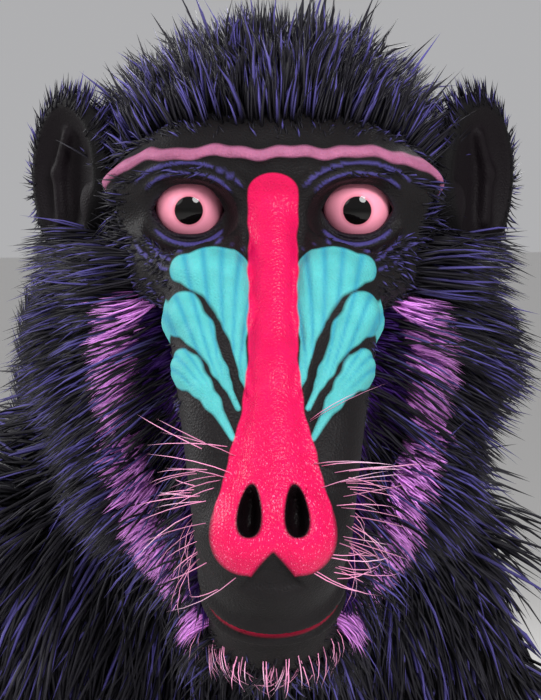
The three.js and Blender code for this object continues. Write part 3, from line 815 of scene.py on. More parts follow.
skin_q = head_place(skin_points)
skin_out = np.abs(skin_q[:, 0])
share_down, rise_off = along_muzzle(skin_q)
on_front = (skin_q[:, 1] < 6) & (length(skin_q) < 230)
edge_reach = 4
far_outside = -edge_reach
strip_top, strip_end = 18.3, 0.87
strip_shares = (0.4, 0.47, 0.54, 0.6, 0.67, 0.74, 0.82, 0.89)
strip_halves = (9.8, 10.0, 11.4, 13.0, 15.7, 18.8, 22.0, 24)
strip_edge = np.interp(share_down, strip_shares, strip_halves)
strip_edge += 0.3 * np.sin(share_down * 40) + 0.2 * np.sin(share_down * 93 + 1)
strip_round = np.hypot(skin_q[:, 0], np.maximum(skin_q[:, 2] - strip_top + 8, 0) * 1.3)
strip = np.min([strip_edge - strip_round, (strip_end - share_down) * muzzle_length, rise_off + 16], axis=0)
pad = np.min([0.9 - nose_form(skin_q), (share_down - 0.8) * muzzle_length, -nose_notch(skin_q)], axis=0)
nose_inside = np.where(on_front, np.maximum(strip, pad), far_outside)
ridge_inside = np.where(on_front & (skin_out < 70), 0.7 - ridge_form(skin_q), far_outside)
# How far inside the brow's mauve marking a place is; the mauve is a painted highlight along the brow ridge.
brow_half = 2.1 + 0.7 * smooth(np.abs(brow_offset(skin_q)[1]), 0.6, 1.2)
brow_highlight_inside = brow_half - brow_spread * np.sqrt(-np.log(np.clip(brow_band(skin_q), 1e-6, 1)))
nostril_inside = np.where(on_front, 1.0 - nostrils(skin_q), far_outside)
mouth_off, mouth_share = mouth_line(skin_q)
lip_inside = np.where(on_front & (mouth_share > 0.5), 0.6 - np.abs(mouth_off + 0.9), far_outside)
skin_rear = at_rump(skin_points)

skin_material, tree, shader = new_material("mandrill_skin")
paint = uneven_tone(tree, (0.0075, 0.0062, 0.007), 0.6, 45)
# Mauve for the brow band: a painted highlight along the brow ridge.
brow_highlight_mauve = uneven_tone(tree, (0.37, 0.118, 0.222), 0.4, 160)
blue = uneven_tone(tree, (0.085, 0.445, 0.455), 0.28, 90)
# Darker blue along the ridges' fine grooves: painted shade in the grooves.
blue = mixed(tree, point_value(tree, "groove"), blue, colour(0.04, 0.31, 0.42))
flecks = remapped(tree, noise(tree, {"Scale": 620.0, "Detail": 2.0}), 0.62, 0.68)
flecks = maths(tree, "MULTIPLY", flecks, point_value(tree, "speckle"))
crimson = mixed(tree, flecks, uneven_tone(tree, (0.69, 0.005, 0.085), 0.25, 120), colour(0.90, 0.16, 0.30))
nose_mask = marked(tree, "nose", 0.4)
markings = [
    (point_value(tree, "lid"), colour(0.010, 0.007, 0.012)),
    (point_value(tree, "fold"), colour(0.055, 0.045, 0.19)),
    (marked(tree, "brow", 0.5), brow_highlight_mauve),
    (marked(tree, "ridge"), blue),
    (nose_mask, crimson),
    (marked(tree, "nostril", 0.5), colour(0.006, 0.003, 0.004)),
    (marked(tree, "lip"), colour(0.70, 0.012, 0.07)),
    (point_value(tree, "hand"), uneven_tone(tree, (0.030, 0.026, 0.030), 0.7, 70)),
    (point_value(tree, "rump"), uneven_tone(tree, (0.20, 0.16, 0.52), 0.5, 35)),
    (point_value(tree, "pad"), colour(0.62, 0.20, 0.30)),
]
for mask, tone in markings:
    paint = mixed(tree, mask, paint, tone)
tree.links.new(paint, shader.inputs["Base Color"])
tree.links.new(remapped(tree, nose_mask, 0.0, 1.0, 0.55, 0.32), shader.inputs["Roughness"])
add_relief(tree, shader, 700, 0.8, 0.35, 0.0006)
set_sockets(shader, {"Specular IOR Level": 0.14, "Subsurface Weight": 0.06, "Subsurface Scale": 0.004})


def place_mesh(name, mesh, material):
    mesh.materials.append(material)
    made = bpy.data.objects.new(name, mesh)
    bpy.context.scene.collection.objects.link(made)
    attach(made, "root")
    return made


def add_object(name, points, faces, material):
    mesh = bpy.data.meshes.new(name)
    mesh.from_pydata(in_frame(points).tolist(), [], [list(f) for f in faces])
    mesh.update()
    mesh.polygons.foreach_set("use_smooth", np.ones(len(mesh.polygons), bool))
    return place_mesh(name, mesh, material)


def edge_value(inside):
    return np.clip(inside, -edge_reach, edge_reach)


def keep_on_points(obj, **values):
    for name, value in values.items():
        kept = obj.data.attributes.new(name, "FLOAT", "POINT")
        kept.data.foreach_set("value", np.ascontiguousarray(value, np.float32))


skin = add_object("skin", skin_points, skin_faces, skin_material)
keep_on_points(
    skin,
    lid=smooth(20.5 - from_eyes(skin_q), 0, 2.0) * on_front,
    fold=smooth(lid_folds(skin_q), 0.35, 0.8) * on_front,
    brow=edge_value(brow_highlight_inside),
    # The brow's mauve marking, a painted highlight along the brow ridge.
    ridge=edge_value(ridge_inside),
    # Where the ridges' fine grooves run, which are painted darker blue as shade.
    groove=ridge_grooves(skin_q),
    speckle=smooth(share_down, 0.5, 0.85),
    nose=edge_value(nose_inside),
    nostril=edge_value(nostril_inside),
    lip=lip_inside,
    hand=smooth(70 - skin_points[:, 2], 0, 30),
    rump=smooth(-rump_bare(skin_points), -6, 4) * skin_rear,
    pad=smooth(2.5 - pad_form(skin_points), 0, 3) * skin_rear,
)
flesh = ["head", "jaw", "nose", "brow_band", "neck", "chest", "loin", "rump", "rump_skin", "tail"]
paired = ["cheek_ridges", "ruff", "sitting_pad", "upper_arm", "forearm", "hand", "thigh", "shank", "foot"]
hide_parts(*flesh, *[f"{name}_{side}" for name in paired for side in ("left", "right")])


# Eyes
# A glass-clear eyeball front over a pink-amber iris with a round black pupil, as a taxidermist sets them.
gaze = unit(spot(0, -1, 0.02))
pupil_radius, socket_gap = 5.6, 0.4
cornea_swell, cornea_width = 0.5, 0.75
eye_rings, eye_turns, ring_crowding = 48, 64, 1.25
off_axis_scale = 15.0
pupil_edge = pupil_radius / off_axis_scale


def eyeball(centre):
    points, off_axis, faces = [], [], []
    sideways = unit(np.cross(gaze, overhead))
    above = np.cross(sideways, gaze)
    for i in range(eye_rings + 1):
        angle = math.pi * (i / eye_rings) ** ring_crowding
        swell = cornea_swell * math.exp(-((angle / cornea_width) ** 4))
        for j in range(eye_turns):
            turn = 2 * math.pi * j / eye_turns
            out = math.cos(turn) * sideways + math.sin(turn) * above
            offset = math.cos(angle) * gaze + math.sin(angle) * out
            points.append(centre + (eye_radius - socket_gap + swell) * offset)
            off_axis.append(eye_radius * math.sin(angle) if angle < math.pi / 2 else 20)
    for i in range(eye_rings):
        here, below = i * eye_turns, (i + 1) * eye_turns
        for j in range(eye_turns):
            k = (j + 1) % eye_turns
            faces.append((here + j, here + k, below + k, below + j))
    return np.array(points), faces, off_axis


eye_material, tree, shader = new_material("eye_gloss")
ring = remapped(tree, point_value(tree, "off_axis"), 0.0, off_axis_scale)
ramp = add_node(tree, "ShaderNodeValToRGB", {"Fac": ring})
stops = [
    (0.0, colour(0.002, 0.002, 0.002)),
    (pupil_edge, colour(0.003, 0.002, 0.002)),
    (pupil_edge + 0.015, colour(0.75, 0.22, 0.30)),
    (0.47, colour(1.0, 0.35, 0.48)),
    (0.85, colour(1.0, 0.34, 0.46)),
    (0.91, colour(0.60, 0.16, 0.24)),
    (0.93, colour(0.09, 0.02, 0.03)),
    (0.98, colour(0.05, 0.02, 0.02)),
]
while len(ramp.color_ramp.elements) < len(stops):
    ramp.color_ramp.elements.new(0.5)
for element, (place, tone) in zip(ramp.color_ramp.elements, stops):
    element.position = place
    element.color = tone
fibres = remapped(tree, noise(tree, {"Scale": 900.0, "Detail": 3.0}), 0.0, 1.0, 0.85, 1.15)
tree.links.new(scaled(tree, ramp.outputs["Color"], fibres), shader.inputs["Base Color"])
set_sockets(shader, {"Roughness": 0.4, "Specular IOR Level": 0.0, "Coat Weight": 1.0})
set_sockets(shader, {"Coat Roughness": 0.02, "Coat IOR": 1.33})
sides = (("left", 1), ("right", -1))
for (name, side), centre in zip(sides, eye_centres):
    points, faces, rings_off = eyeball(centre)
    eye = add_object("eyeball_" + name, head_to_body(points), faces, eye_material)
    keep_on_points(eye, off_axis=rings_off)
    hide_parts("eye_" + name)


# Ears
# Thin dark cups with a rolled rim and an inner fold, rooted behind the cheek hair.
ear_place = spot(84, 54, 6)
ear_turn = np.array(Matrix.Rotation(0.75, 3, "Z"))
ear_high = spot(27, 16, 41)
ear_shell_size = (23.5, 9.5, 36.5)
ear_shell = ball((0, 0, 0), ear_shell_size)
ear_cup = ball((1.5, -8, 1), (18.5, 10.5, 31.5))
ear_fold = blend(3, bar((6, -1.5, -18), (9, -0.5, 2), 2.6), bar((9, -0.5, 2), (3, -1, 19), 2.6, 1.8))
ear_tragus = ball((-13, -3, -9), (4.5, 4, 9))


def ear_flesh(p):
    d = -soft_min(-ear_shell(p), ear_cup(p), 3)
    d = soft_min(d, ear_fold(p), 4)
    return soft_min(d, ear_tragus(p), 4)


def ear_to_body(p, side):
    return head_to_body((np.asarray(p) @ ear_turn.T + ear_place) * (side, 1, 1))


ear_points, ear_faces = net_over(ear_flesh, -ear_high, ear_high, 1.3)
ear_points = settle(ear_points, ear_flesh, 2, 1.0)
ear_material, tree, shader = new_material("ear_skin")
dusk = uneven_tone(tree, (0.004, 0.0035, 0.004), 0.5, 80)
paint = mixed(tree, point_value(tree, "inside"), dusk, colour(0.006, 0.004, 0.0055))
tree.links.new(paint, shader.inputs["Base Color"])
add_relief(tree, shader, 800, 0.6, 0.3, 0.0005)
set_sockets(shader, {"Roughness": 0.6, "Specular IOR Level": 0.1})
for name, side in sides:
    faces = ear_faces if side > 0 else ear_faces[:, ::-1]
    ear = add_object("ear_skin_" + name, ear_to_body(ear_points, side), faces, ear_material)
    keep_on_points(ear, inside=smooth(1.5 - ear_cup(ear_points), 0, 2))
    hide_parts("ear_" + name)


# Nails
# Dark horn plates on the top of each finger and toe tip, curved from side to side and over the end.
nail_material, tree, shader = new_material("nail_horn")
tree.links.new(uneven_tone(tree, (0.045, 0.036, 0.034), 0.6, 300), shader.inputs["Base Color"])
set_sockets(shader, {"Roughness": 0.32})
nail_steps, nail_turns, nail_thickness = 7, 8, 0.9
nail_reach, nail_wrap, nail_droop = 2.1, 2.1, 1.2


def nail(root, tip, radius):
    run = unit(tip - root)
    above = unit(overhead - (overhead @ run) * run)
    wide = np.cross(run, above)
    points = []
    for layer in (0.0, nail_thickness):
        for i in range(nail_steps + 1):
            t = i / nail_steps
            middle = tip + run * (radius * (-1.0 + nail_reach * t)) - above * (nail_droop * t**3)
            for j in range(nail_turns + 1):
                turn = (j / nail_turns - 0.5) * nail_wrap * (1 - 0.35 * t**4)
                out = math.cos(turn) * above + math.sin(turn) * wide
                points.append(middle + out * (radius * (0.93 - 0.12 * t) + layer))
    row = nail_turns + 1
    sheet = row * (nail_steps + 1)
    faces = []
    for i in range(nail_steps):
        for j in range(nail_turns):
            a = i * row + j
            b = a + sheet
            faces += [(a, a + row, a + row + 1, a + 1), (b + 1, b + row + 1, b + row, b)]
    last = nail_steps * row
    rim = list(range(row)) + [i * row + nail_turns for i in range(1, nail_steps + 1)]
    rim += [last + j for j in range(nail_turns - 1, -1, -1)]
    rim += [i * row for i in range(nail_steps - 1, 0, -1)]
    for a, b in zip(rim, rim[1:] + rim[:1]):
        faces.append((a, b, b + sheet, a + sheet))
    return points, faces


nail_points, nail_faces = [], []
for leg in legs.values():
    for _, knuckle, tip, radius in leg["bones"]:
        points, faces = nail(knuckle, tip, radius)
        nail_faces += [tuple(i + len(nail_points) for i in face) for face in faces]
        nail_points += points
add_object("nails", nail_points, nail_faces, nail_material)


# Hair
# Every hair piece is a mesh of thin, three-sided tufts rooted on the skin, dark at the root and lighter at
# the tip. A random share of tufts takes a streak colour, which in the black hair is blue-violet, a painted
# sheen.
# The roots are drawn at random, and the hair lies with the coat and gathers a little into locks.
rng = np.random.default_rng(7)
part_forms = {
    "head": near_head,
    "neck": lambda p: neck_form(p) + neck_coat,
    "trunk": lambda p: trunk_form(p) + trunk_coat,
    "tail": lambda p: tail_form(p) + tail_coat,
}
for (pair, side), form in leg_forms.items():
    part_forms[pair + ("_left" if side > 0 else "_right")] = form
part_distance = {name: form(skin_middles) for name, form in part_forms.items()}
nearest_part = np.min([*part_distance.values()], axis=0)


def belongs(name, slack):
    return part_distance[name] < nearest_part + slack + 1e-6


def heading(x, y, z):
    """Directions from three components, each a number for every root or one for all."""
    return np.stack(np.broadcast_arrays(x, y, z), 1)


def draw_roots(count, weight):
    """Random places on the skin, close where the weight is high, with their normals."""
    share = skin_areas * weight
    chosen = rng.choice(len(share), count, p=share / share.sum())
    a, b = np.sqrt(rng.random(count)), rng.random(count)
    mix = np.stack([1 - a, a * (1 - b), a * b], 1)[:, :, None]
    corners = skin_triangles[chosen]
    return (skin_points[corners] * mix).sum(1), unit((skin_normals[corners] * mix).sum(1))


lock_scatter = np.array([[12.99, 39.35, 73.16], [78.23, 11.14, 52.23], [45.16, 94.67, 9.15]])


def locks(at, size):
    """A lean that draws each hair towards the middle of its own lock."""
    cell = np.floor(at / size)
    scattered = np.sin(cell @ lock_scatter) * 437.58
    centre = (cell + 0.5 + 0.3 * np.sin(scattered)) * size
    return (centre - at) / size, np.cos(scattered * 1.7)


lock_lean, tip_tuck = 0.22, 0.12


def comb(at, normal, lie, lift, lock_size, gathered, stray=0.16, droop=0.15):
    """Start and end directions of hair that lies along the coat, gathered a little into locks."""
    lie = np.broadcast_to(lie, at.shape)
    along = unit(lie - (lie * normal).sum(1)[:, None] * normal)
    pull, lean = locks(at, lock_size)
    along = unit(along + stray * rng.standard_normal(at.shape) + lock_lean * lean)
    rise = lift * (0.75 + 0.5 * rng.random(len(at)))[:, None]
    start = unit(along * np.cos(rise) + normal * np.sin(rise))
    end = unit(along + gathered * pull - tip_tuck * normal - droop * overhead)
    return start, end


def around(axis_from, axis_to):
    """An unwrap: the angle round a line inside the part, and the distance along it."""
    a = np.array(axis_from, float)
    run = np.array(axis_to, float) - a
    axis = run / np.linalg.norm(run)
    one = unit(np.cross(axis, (0.31, 0.2, 0.93)))
    two = np.cross(axis, one)

    def place(at):
        q = at - a
        turn = np.arctan2(q @ two, q @ one) / (2 * math.pi)
        return turn % 1.0, np.clip(q @ axis / np.linalg.norm(run), 0, 1)

    return place


patch_size, root_depth = 0.003, 1.5


def tufts(name, at, directions, long, wide, rings, unwrap, material):
    """One mesh of tapered, three-sided tufts, each bent from its start direction to its end direction."""
    n = len(at)
    start, end = directions
    long, wide = np.broadcast_to(long, n), np.broadcast_to(wide, n)
    side = unit(np.cross(start, end) + 0.35 * np.cross(start, rng.standard_normal((n, 3))))
    stations = np.linspace(0, 1, rings + 1)
    points, along, patch = [], [], []
    for s in stations[:-1]:
        bent = start * (s - s * s / 2) + end * (s * s / 2)
        centre = at + long[:, None] * bent - start * (1 - s) * root_depth
        forward = unit(start * (1 - s) + end * s)
        across_it = unit(side - (side * forward).sum(1)[:, None] * forward)
        half = (wide / 2 * (0.8 + 0.8 * s) * (1 - s) ** 0.7)[:, None]
        through = np.cross(forward, across_it) * half * 0.8
        points += [centre - across_it * half, centre + across_it * half, centre + through]
        along += [s] * 3
        patch += [(0, s), (1, s), (0.5, s)]
    points.append(at + long[:, None] * (start + end) / 2)
    along.append(1.0)
    patch.append((0.5, 1.0))
    per = len(along)
    faces = [(0, 1, 2)]
    for r in range(rings - 1):
        for i in range(3):
            a, b = 3 * r + i, 3 * r + (i + 1) % 3
            faces += [(a, a + 3, b + 3), (a, b + 3, b)]
    faces += [(per - 4 + i, per - 1, per - 4 + (i + 1) % 3) for i in range(3)]
    faces = (np.array(faces)[None] + per * np.arange(n)[:, None, None]).reshape(-1, 3)
    mesh = bpy.data.meshes.new(name)
    mesh.vertices.add(n * per)
    mesh.vertices.foreach_set("co", in_frame(np.stack(points, 1)).astype(np.float32).ravel())
    mesh.loops.add(faces.size)
    mesh.loops.foreach_set("vertex_index", faces.astype(np.int32).ravel())
    mesh.polygons.add(len(faces))
    mesh.polygons.foreach_set("loop_start", np.arange(0, faces.size, 3, dtype=np.int32))
    mesh.polygons.foreach_set("use_smooth", np.ones(len(faces), bool))
    mesh.update(calc_edges=True)
    uv = np.stack(unwrap(at), 1)[:, None] * (1 - patch_size) + np.array(patch) * patch_size
    layer = mesh.uv_layers.new(name="OFBake")
    layer.data.foreach_set("uv", uv.reshape(-1, 2)[faces.ravel()].astype(np.float32).ravel())
    made = place_mesh(name, mesh, material)
    keep_on_points(made, along=np.tile(along, n), tone=rng.random(n).repeat(per))


# A random share of tufts turns to the streak colour towards the tip; in the black hair it is a painted sheen.
tone_inputs = {"Along": 0.5, "Tone": 0.5, "Streak_and_sheen_share": 0.2}
tone_inputs |= {"Root": colour(0, 0, 0), "Tip": colour(0.1, 0.1, 0.1), "Streak_and_sheen": colour(0.2, 0.2, 0.5)}
hair_tone, given, result = new_group("hair_tone", tone_inputs, "Color", "NodeSocketColor")
body = mixed(hair_tone, given["Along"], given["Root"], given["Tip"])
limit = maths(hair_tone, "SUBTRACT", 1.0, given["Streak_and_sheen_share"])
chosen = maths(hair_tone, "GREATER_THAN", given["Tone"], limit)
share = maths(hair_tone, "MULTIPLY", chosen, remapped(hair_tone, given["Along"], 0.1, 0.6))
body = mixed(hair_tone, share, body, given["Streak_and_sheen"])
apart = maths(hair_tone, "FRACT", maths(hair_tone, "MULTIPLY", given["Tone"], 12.7))
bright = remapped(hair_tone, apart, 0.0, 1.0, 0.65, 1.35)
hair_tone.links.new(scaled(hair_tone, body, bright), result)


def hair_material(name, root, tip, streak_and_sheen, streak_and_sheen_share, roughness=0.5):
    material, tree, shader = new_material(name)
    values = {"Along": point_value(tree, "along"), "Tone": point_value(tree, "tone"), "Streak_and_sheen_share": streak_and_sheen_share}
    values |= {"Root": colour(*root), "Tip": colour(*tip), "Streak_and_sheen": colour(*streak_and_sheen)}
    tree.links.new(place_group(tree, hair_tone, values), shader.inputs["Base Color"])
    set_sockets(shader, {"Roughness": roughness, "Specular IOR Level": 0.15})
    return material


# Blue-violet: the painted sheen streaked into the black hair and the body hair.
violet_sheen, near_black = (0.072, 0.060, 0.235), (0.006, 0.004, 0.010)
black_hair = hair_material("black_hair", (0.008, 0.007, 0.010), (0.014, 0.0125, 0.020), violet_sheen, 0.24)
body_hair = hair_material("body_hair", (0.008, 0.0075, 0.010), (0.018, 0.0165, 0.024), violet_sheen, 0.16)
purple_hair = hair_material("purple_hair", (0.012, 0.002, 0.045), (0.036, 0.005, 0.120), near_black, 0.3)
lilac_hair = hair_material("lilac_hair", (0.62, 0.20, 0.68), (0.84, 0.34, 0.92), (0.10, 0.03, 0.16), 0.14)
pink_hair = hair_material("pink_hair", (0.80, 0.27, 0.48), (0.92, 0.42, 0.66), (0.9, 0.55, 0.75), 0.2, 0.35)


# Crest
# Stiff black hair that stands up from the crown behind the brow, longest in the middle. One tuft in twenty is
# a spike, half as long again as the rest.
middle_q = head_place(skin_middles)
head_x, head_y, head_z = middle_q.T
head_out = np.abs(head_x)
above_brow, brow_turn = brow_offset(middle_q)
is_head = belongs("head", 2.0)
crest_edge = 8 - 75 * smooth(head_y, 62, 100)
crest_weight = is_head * (head_z > crest_edge) * smooth(above_brow + 40 * (head_y > 60), 8, 17)
crest_weight *= 1 - 0.35 * smooth(head_y, 60, 90)
at, normal = draw_roots(8400, crest_weight)
x, y, z = head_place(at).T
side_on = x / 62
back_on = np.clip(y / 110, 0, 1)
low_on = smooth(20 - z, 0, 45)
pull, lean = locks(at, 13.0)
rise = heading(0.8 * side_on, 0.10 + 0.75 * back_on, 1.15 - 0.35 * back_on - 1.3 * low_on)
start = unit(unit(rise @ to_head.T) + 0.55 * normal + 0.12 * rng.standard_normal(at.shape))
lay_back = heading(0.75 * side_on, 0.35 + 0.85 * back_on, 0.9 - 0.9 * back_on - 1.2 * low_on)
end = unit(unit(lay_back @ to_head.T) + 0.5 * pull + 0.3 * lean + 0.12 * rng.standard_normal(at.shape))
crest_long = (1 - 0.22 * side_on**2) * (0.72 + 0.28 * smooth(y, -5, 40))
crown = around(head_to_body((0, 30, -20)), head_to_body((0, 62, 62)))
spike_share, spike_long, tuft_long = 0.05, 43, 29
is_spike = rng.random(len(at)) < spike_share
long = np.where(is_spike, spike_long, tuft_long) * crest_long * rng.uniform(0.6, 1.15, len(at))
tufts("crest_hair", at, (start, end), long, np.where(is_spike, 2.0, 1.5), 3, crown, black_hair)


# Ear bristles
# Short stiff hair on the back and rim of each ear, thickest along the rim, standing out from it.
bristle_count = 900
ear_triangles = np.concatenate([ear_faces[:, [0, 1, 2]], ear_faces[:, [0, 2, 3]]])
corners = ear_points[ear_triangles]
area = length(np.cross(corners[:, 1] - corners[:, 0], corners[:, 2] - corners[:, 0]))
middle = corners.mean(1)
to_rim = np.hypot(middle[:, 0] / ear_shell_size[0], middle[:, 2] / ear_shell_size[2])
weight = area * (ear_cup(middle) > 1.2) * (0.25 + smooth(to_rim, 0.8, 0.95))
for name, side in sides:
    chosen = rng.choice(len(area), bristle_count, p=weight / weight.sum())
    at = middle[chosen]
    out = unit(at * (1, 0.4, 1)) + 0.2 * rng.standard_normal(at.shape)
    root = ear_to_body(at, side)
    start = unit(ear_to_body(at + unit(out + (0, 0.5, 0)), side) - root)
    end = unit(ear_to_body(at + unit(out + (0, 0.3, 0.4)), side) - root)
    rim_line = around(ear_to_body((0, 0, -38), side), ear_to_body((0, 0, 38), side))
    bristle_long = 9 * rng.uniform(0.6, 1.2, len(at))
    tufts("ear_bristles_" + name, root, (start, end), bristle_long, 1.0, 2, rim_line, black_hair)


# Face fur
# Short dark hair on the temples, cheeks and jaw, lying back from the bare skin. It is thin where the lilac
# fringe grows.
ruff_points = np.stack(ruff_line)


def by_ruff(q):
    """How far down the ruff a place on the head is, how far in front of it, and how far from it."""
    p = np.abs(q * (1, 0, 0)) + q * (0, 1, 1)
    best = np.full(len(p), 1e9)
    down, forward = np.zeros(len(p)), np.zeros(len(p))
    for i in range(3):
        a, run = ruff_points[i], ruff_points[i + 1] - ruff_points[i]
        t = np.clip((p - a) @ run / (run @ run), 0, 1)
        nearest = a + t[:, None] * run
        d = length(p - nearest)
        closer = d < best
        best = np.where(closer, d, best)
        down = np.where(closer, (i + t) / 3, down)
        forward = np.where(closer, nearest[:, 1] - p[:, 1], forward)
    return down, forward, best


ruff_forward, ruff_near = by_ruff(middle_q)[1:]
bare_front = np.maximum(nose_form(middle_q) < 3, ridge_form(middle_q) < 2.5)
eye_near = from_eyes(middle_q)
mouth_near, mouth_here = mouth_line(middle_q)
middle_share = along_muzzle(middle_q)[0]
between_eyes = (head_out < 22) & (head_z > -30) & (head_z < 25)
bare = bare_front | (eye_near < 27) | between_eyes | ((np.abs(above_brow) < 6) & (np.abs(brow_turn) < 1.48))
bare |= (np.abs(mouth_near) < 6) & (mouth_here > 0.1)
chin_bare = 7 + 10 * smooth(-head_y, 45, 75)
bare |= (-mouth_near < chin_bare) & (head_y < -60) & (mouth_near < 0)
bare |= (middle_share > 0.45) & (head_out < 36) & (mouth_near > -5) & (head_y < -30)
furry = is_head & ~bare & ~(crest_weight > 0.8)
band_down = (38, 58, 96, 113, 132, 150, 165)
band_out = (51, 56, 57, 53, 46, 33, 17)
inward = np.interp(-head_z, band_down, band_out) - head_out
in_front = smooth(ruff_forward, -8, -2)
lilac_ends = smooth(-head_z, 34, 42) * smooth(head_z, -162, -152)
on_lilac = smooth(inward, -7, -4) * smooth(5 - inward, 0, 3) * in_front * lilac_ends
face_weight = furry * (0.35 + smooth(head_out, 20, 46)) * (head_y < 90) * (1 - 0.85 * on_lilac)
at, normal = draw_roots(9500, face_weight)
x, y, z = head_place(at).T
far_out = np.abs(x)
above = smooth(z, 18, 30)
lie = heading(0.8 * np.sign(x) * smooth(far_out, 5, 40), 0.75, -0.35 + 0.25 * smooth(z, -30, 10) + above)
directions = comb(at, normal, lie @ to_head.T, 0.30, 9.0, 0.3)
fur_long = (5 + 15 * smooth(far_out, 34, 60) * smooth(y, -30, 30)) * rng.uniform(0.7, 1.2, len(at))
skull = around(head_to_body((0, 20, 60)), head_to_body((0, -40, -150)))
tufts("face_fur", at, directions, fur_long, 1.3, 2, skull, black_hair)


# Ruff
# Purple hair on the cheeks, a pale lilac fringe outside it, and long black hair behind them and in a few
# strokes across both.
on_purple = smooth(inward, 3, 7) * in_front
on_black = smooth(ruff_forward, -52, -48) * (1 - smooth(inward, -8, -4) * in_front)
on_strokes = smooth(inward, -8, -4) * smooth(26 - inward, 0, 6) * in_front
ruff_zones = [
    ("cheek_hair_", purple_hair, 4600, on_purple, 0.55, 17, 1.6, 2),
    ("lilac_hair_", lilac_hair, 4200, on_lilac, 1.0, 23, 1.3, 3),
    ("ruff_hair_", black_hair, 6200, on_black, 0.85, 40, 1.6, 3),
    ("ruff_strokes_", black_hair, 520, on_strokes, 0.85, 50, 1.3, 4),
]
for name, side in sides:
    cheek = belongs("head", 3.0) & (head_x * side > 14) & ~bare_front
    cheek &= (eye_near > 32) & (ruff_near < 58) & (head_z < -14)
    cheek_top = head_to_body(flip(ruff_line[0], side) + (0, 0, 20))
    cheek_line = around(cheek_top, head_to_body(flip(ruff_line[3], side)))
    for label, material, count, zone, lift, long, wide, rings in ruff_zones:
        at, normal = draw_roots(count, cheek * zone)
        down = by_ruff(head_place(at))[0]
        lie = heading(side * (1.1 - 0.45 * down), 0.45, -0.05 - 0.85 * down) @ to_head.T
        start, end = comb(at, normal, lie, lift, 12.0, 0.35, 0.14, 0.0)
        fall = heading(side * (0.75 - 0.35 * down), 0.35, -0.35 - 0.55 * down) @ to_head.T
        end = unit(0.45 * end + unit(fall) + 0.1 * rng.standard_normal(at.shape))
        hair_long = long * (1 - 0.2 * down) * rng.uniform(0.65, 1.15, len(at))
        tufts(label + name, at, (start, end), hair_long, wide, rings, cheek_line, material)


# Mane, mantle and body coat
# Long hair on the neck and withers, shorter down the sides and back, all combed back and down. A row gives
# its roots' place and count, the tufts' length and width, their rings and how far they lift.
def body_lie(normal):
    front = smooth(-normal[:, 1], 0.3, 0.9)
    down_side = -0.25 - 0.75 * np.abs(normal[:, 0])
    return heading(0.25 * normal[:, 0], 1 - 0.7 * front, down_side * (1 + 1.2 * front))


body_y, body_z = skin_middles[:, 1], skin_middles[:, 2]
on_trunk = belongs("trunk", 3.0)
coat_pieces = [
    ("mane_hair", belongs("neck", 6.0), 7800, 62, 2.3, 3, 0.42),
    ("mantle_hair", on_trunk & (body_y < 10) & (body_z > 400), 8000, 64, 2.7, 3, 0.34),
    ("chest_hair", on_trunk & (body_y < 30) & (body_z <= 415), 5600, 42, 3.0, 3, 0.3),
    ("back_hair", on_trunk & (body_y >= 0) & (body_z > 405), 10000, 46, 3.1, 2, 0.26),
    ("belly_hair", on_trunk & (body_y >= 20) & (body_z <= 420), 6600, 36, 3.2, 2, 0.26),
]
rump_free = (rump_bare(skin_middles) > 1) | (body_y < rump_back - 80)
trunk_line = around((0, -230, 430), (0, 340, 420))
for name, where, count, long, wide, rings, lift in coat_pieces:
    at, normal = draw_roots(count, where * rump_free)
    directions = comb(at, normal, body_lie(normal), lift, 20.0, 0.4)
    hair_long = long * rng.uniform(0.7, 1.15, len(at))
    tufts(name, at, directions, hair_long, wide, rings, trunk_line, body_hair)


# The legs' and tail's hair
# It runs down each leg, long at the top and short at the wrist or ankle, and up the tail. The hands and feet
# are bare.
for (pair, side), leg in legs.items():
    name = pair + ("_left" if side > 0 else "_right")
    weight = belongs(name, 2.0) * smooth(body_z, 26, 70) * (body_z > 22)
    at, normal = draw_roots(5600, weight)
    high = smooth(at[:, 2], 60, 330)
    lie = heading(0.1 * normal[:, 0], 0.35 + 0.2 * high, -1)
    directions = comb(at, normal, lie, 0.24, 16.0, 0.4)
    hair_long = (7 + 26 * high) * rng.uniform(0.7, 1.15, len(at))
    leg_line = around(leg["top"] + (0, 0, 150), leg["bottom"] - (0, 0, 70))
    tufts(name + "_hair", at, directions, hair_long, 1.8 + 1.4 * high, 2, leg_line, body_hair)

at, normal = draw_roots(2200, belongs("tail", 2.0) * (body_z > rump_height - 60))
directions = comb(at, normal, spot(0, 0.15, 1), 0.5, 10.0, 0.3, 0.16, 0.0)
tail_line = around(tail_root, tail_tip + (0, 0, 20))
tail_long = 24 * rng.uniform(0.7, 1.2, len(at))
tufts("tail_hair", at, directions, tail_long, 2.2, 2, tail_line, body_hair)


# Beard, chin bristles and whiskers
# A black beard under the jaw, pink bristles round the chin's rim, and long pink whiskers beside the nose that
# stand up at the top and fall at the bottom.
chin = is_head & (mouth_near < -7) & (head_out < 34) & (head_y < 20)
at, normal = draw_roots(2200, chin * smooth(-mouth_near - chin_bare, 0, 12))
x, y, z = head_place(at).T
start, end = comb(at, normal, heading(0.35 * np.sign(x), 0.5, -0.8) @ to_head.T, 0.7, 8.0, 0.5)
beard_long = (10 + 16 * smooth(y, -95, -40)) * rng.uniform(0.7, 1.2, len(at))
tufts("beard_hair", at, (start, end), beard_long, 1.2, 3, skull, black_hair)

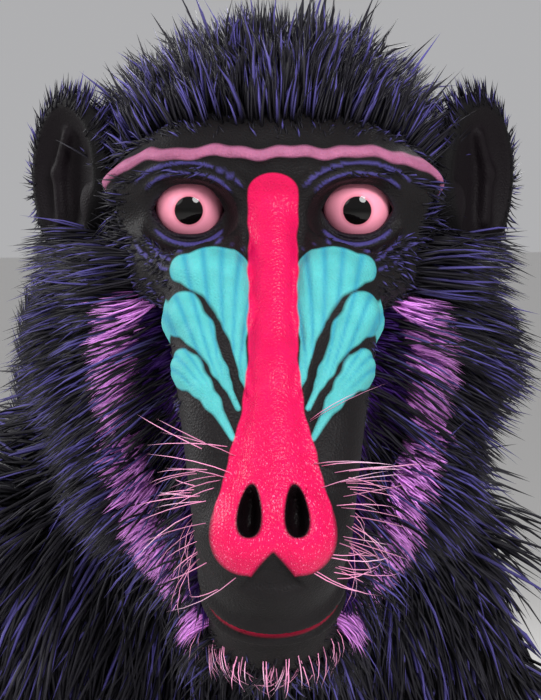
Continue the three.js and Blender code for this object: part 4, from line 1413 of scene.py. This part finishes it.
chin_rim = is_head & (mouth_near < -14) & (mouth_near > -30) & (head_y < -45) & (middle_share > 0.85)
at, normal = draw_roots(75, chin_rim)
lie = (head_place(at) * (1.1, 0, 0) + (0, -20, -50)) @ to_head.T
directions = comb(at, normal, lie, 0.9, 8.0, 0.0, 0.08, 0.0)
tufts("chin_bristles", at, directions, rng.uniform(12, 20, len(at)), 0.6, 3, skull, pink_hair)

beside_nose = (nose_form(middle_q) > 1) & (nose_form(middle_q) < 13) & (ridge_form(middle_q) > 3)
beside_nose &= (middle_share > 0.5) & (middle_share < 0.97) & (mouth_near > 12)
beside_nose &= is_head & (head_out > 13) & (head_y < -30)
at, normal = draw_roots(78, beside_nose)
x, y, z = head_place(at).T
lie = heading(1.2 * np.sign(x), 0.1, 0.35 - 1.0 * smooth(-z, 70, 135)) @ to_head.T
directions = comb(at, normal, lie, 0.8, 8.0, 0.0, 0.12, 0.0)
tufts("whiskers", at, directions, rng.uniform(20, 38, len(at)), 0.5, 4, skull, pink_hair)


# Floor and light
# A plain pale floor, a soft key light by the camera, a fill, and two rims that lift the dark coat off the
# ground.
floor_material, tree, shader = new_material("pale_floor")
set_sockets(shader, {"Base Color": colour(0.76, 0.75, 0.73), "Roughness": 0.7})
bpy.ops.mesh.primitive_plane_add(size=30)
floor = bpy.context.object
floor.name = "floor"
floor.data.materials.append(floor_material)
world = bpy.data.worlds.new("studio")
world.use_nodes = True
set_sockets(world.node_tree.nodes["Background"], {"Color": colour(0.86, 0.86, 0.88), "Strength": 0.5})
bpy.context.scene.world = world


def softbox(name, place, size, watts, aim_at):
    light = bpy.data.lights.new(name, "AREA")
    light.shape = "DISK"
    light.size = size
    light.energy = watts
    holder = bpy.data.objects.new(name, light)
    bpy.context.scene.collection.objects.link(holder)
    holder.location = place
    holder.rotation_euler = (Vector(aim_at) - Vector(place)).to_track_quat("-Z", "Y").to_euler()


softbox("key", (0.2, -2.05, 1.5), 0.75, 37, (0, -0.3, 0.6))
softbox("fill", (-1.6, -1.2, 1.5), 1.4, 12, (0, -0.3, 0.5))
softbox("rim", (0.9, 1.4, 1.9), 1.0, 40, (0, 0, 0.5))
softbox("rim_left", (-1.6, 0.8, 1.2), 0.9, 26, (0, 0, 0.5))
bpy.context.scene.view_settings.view_transform = "Standard"
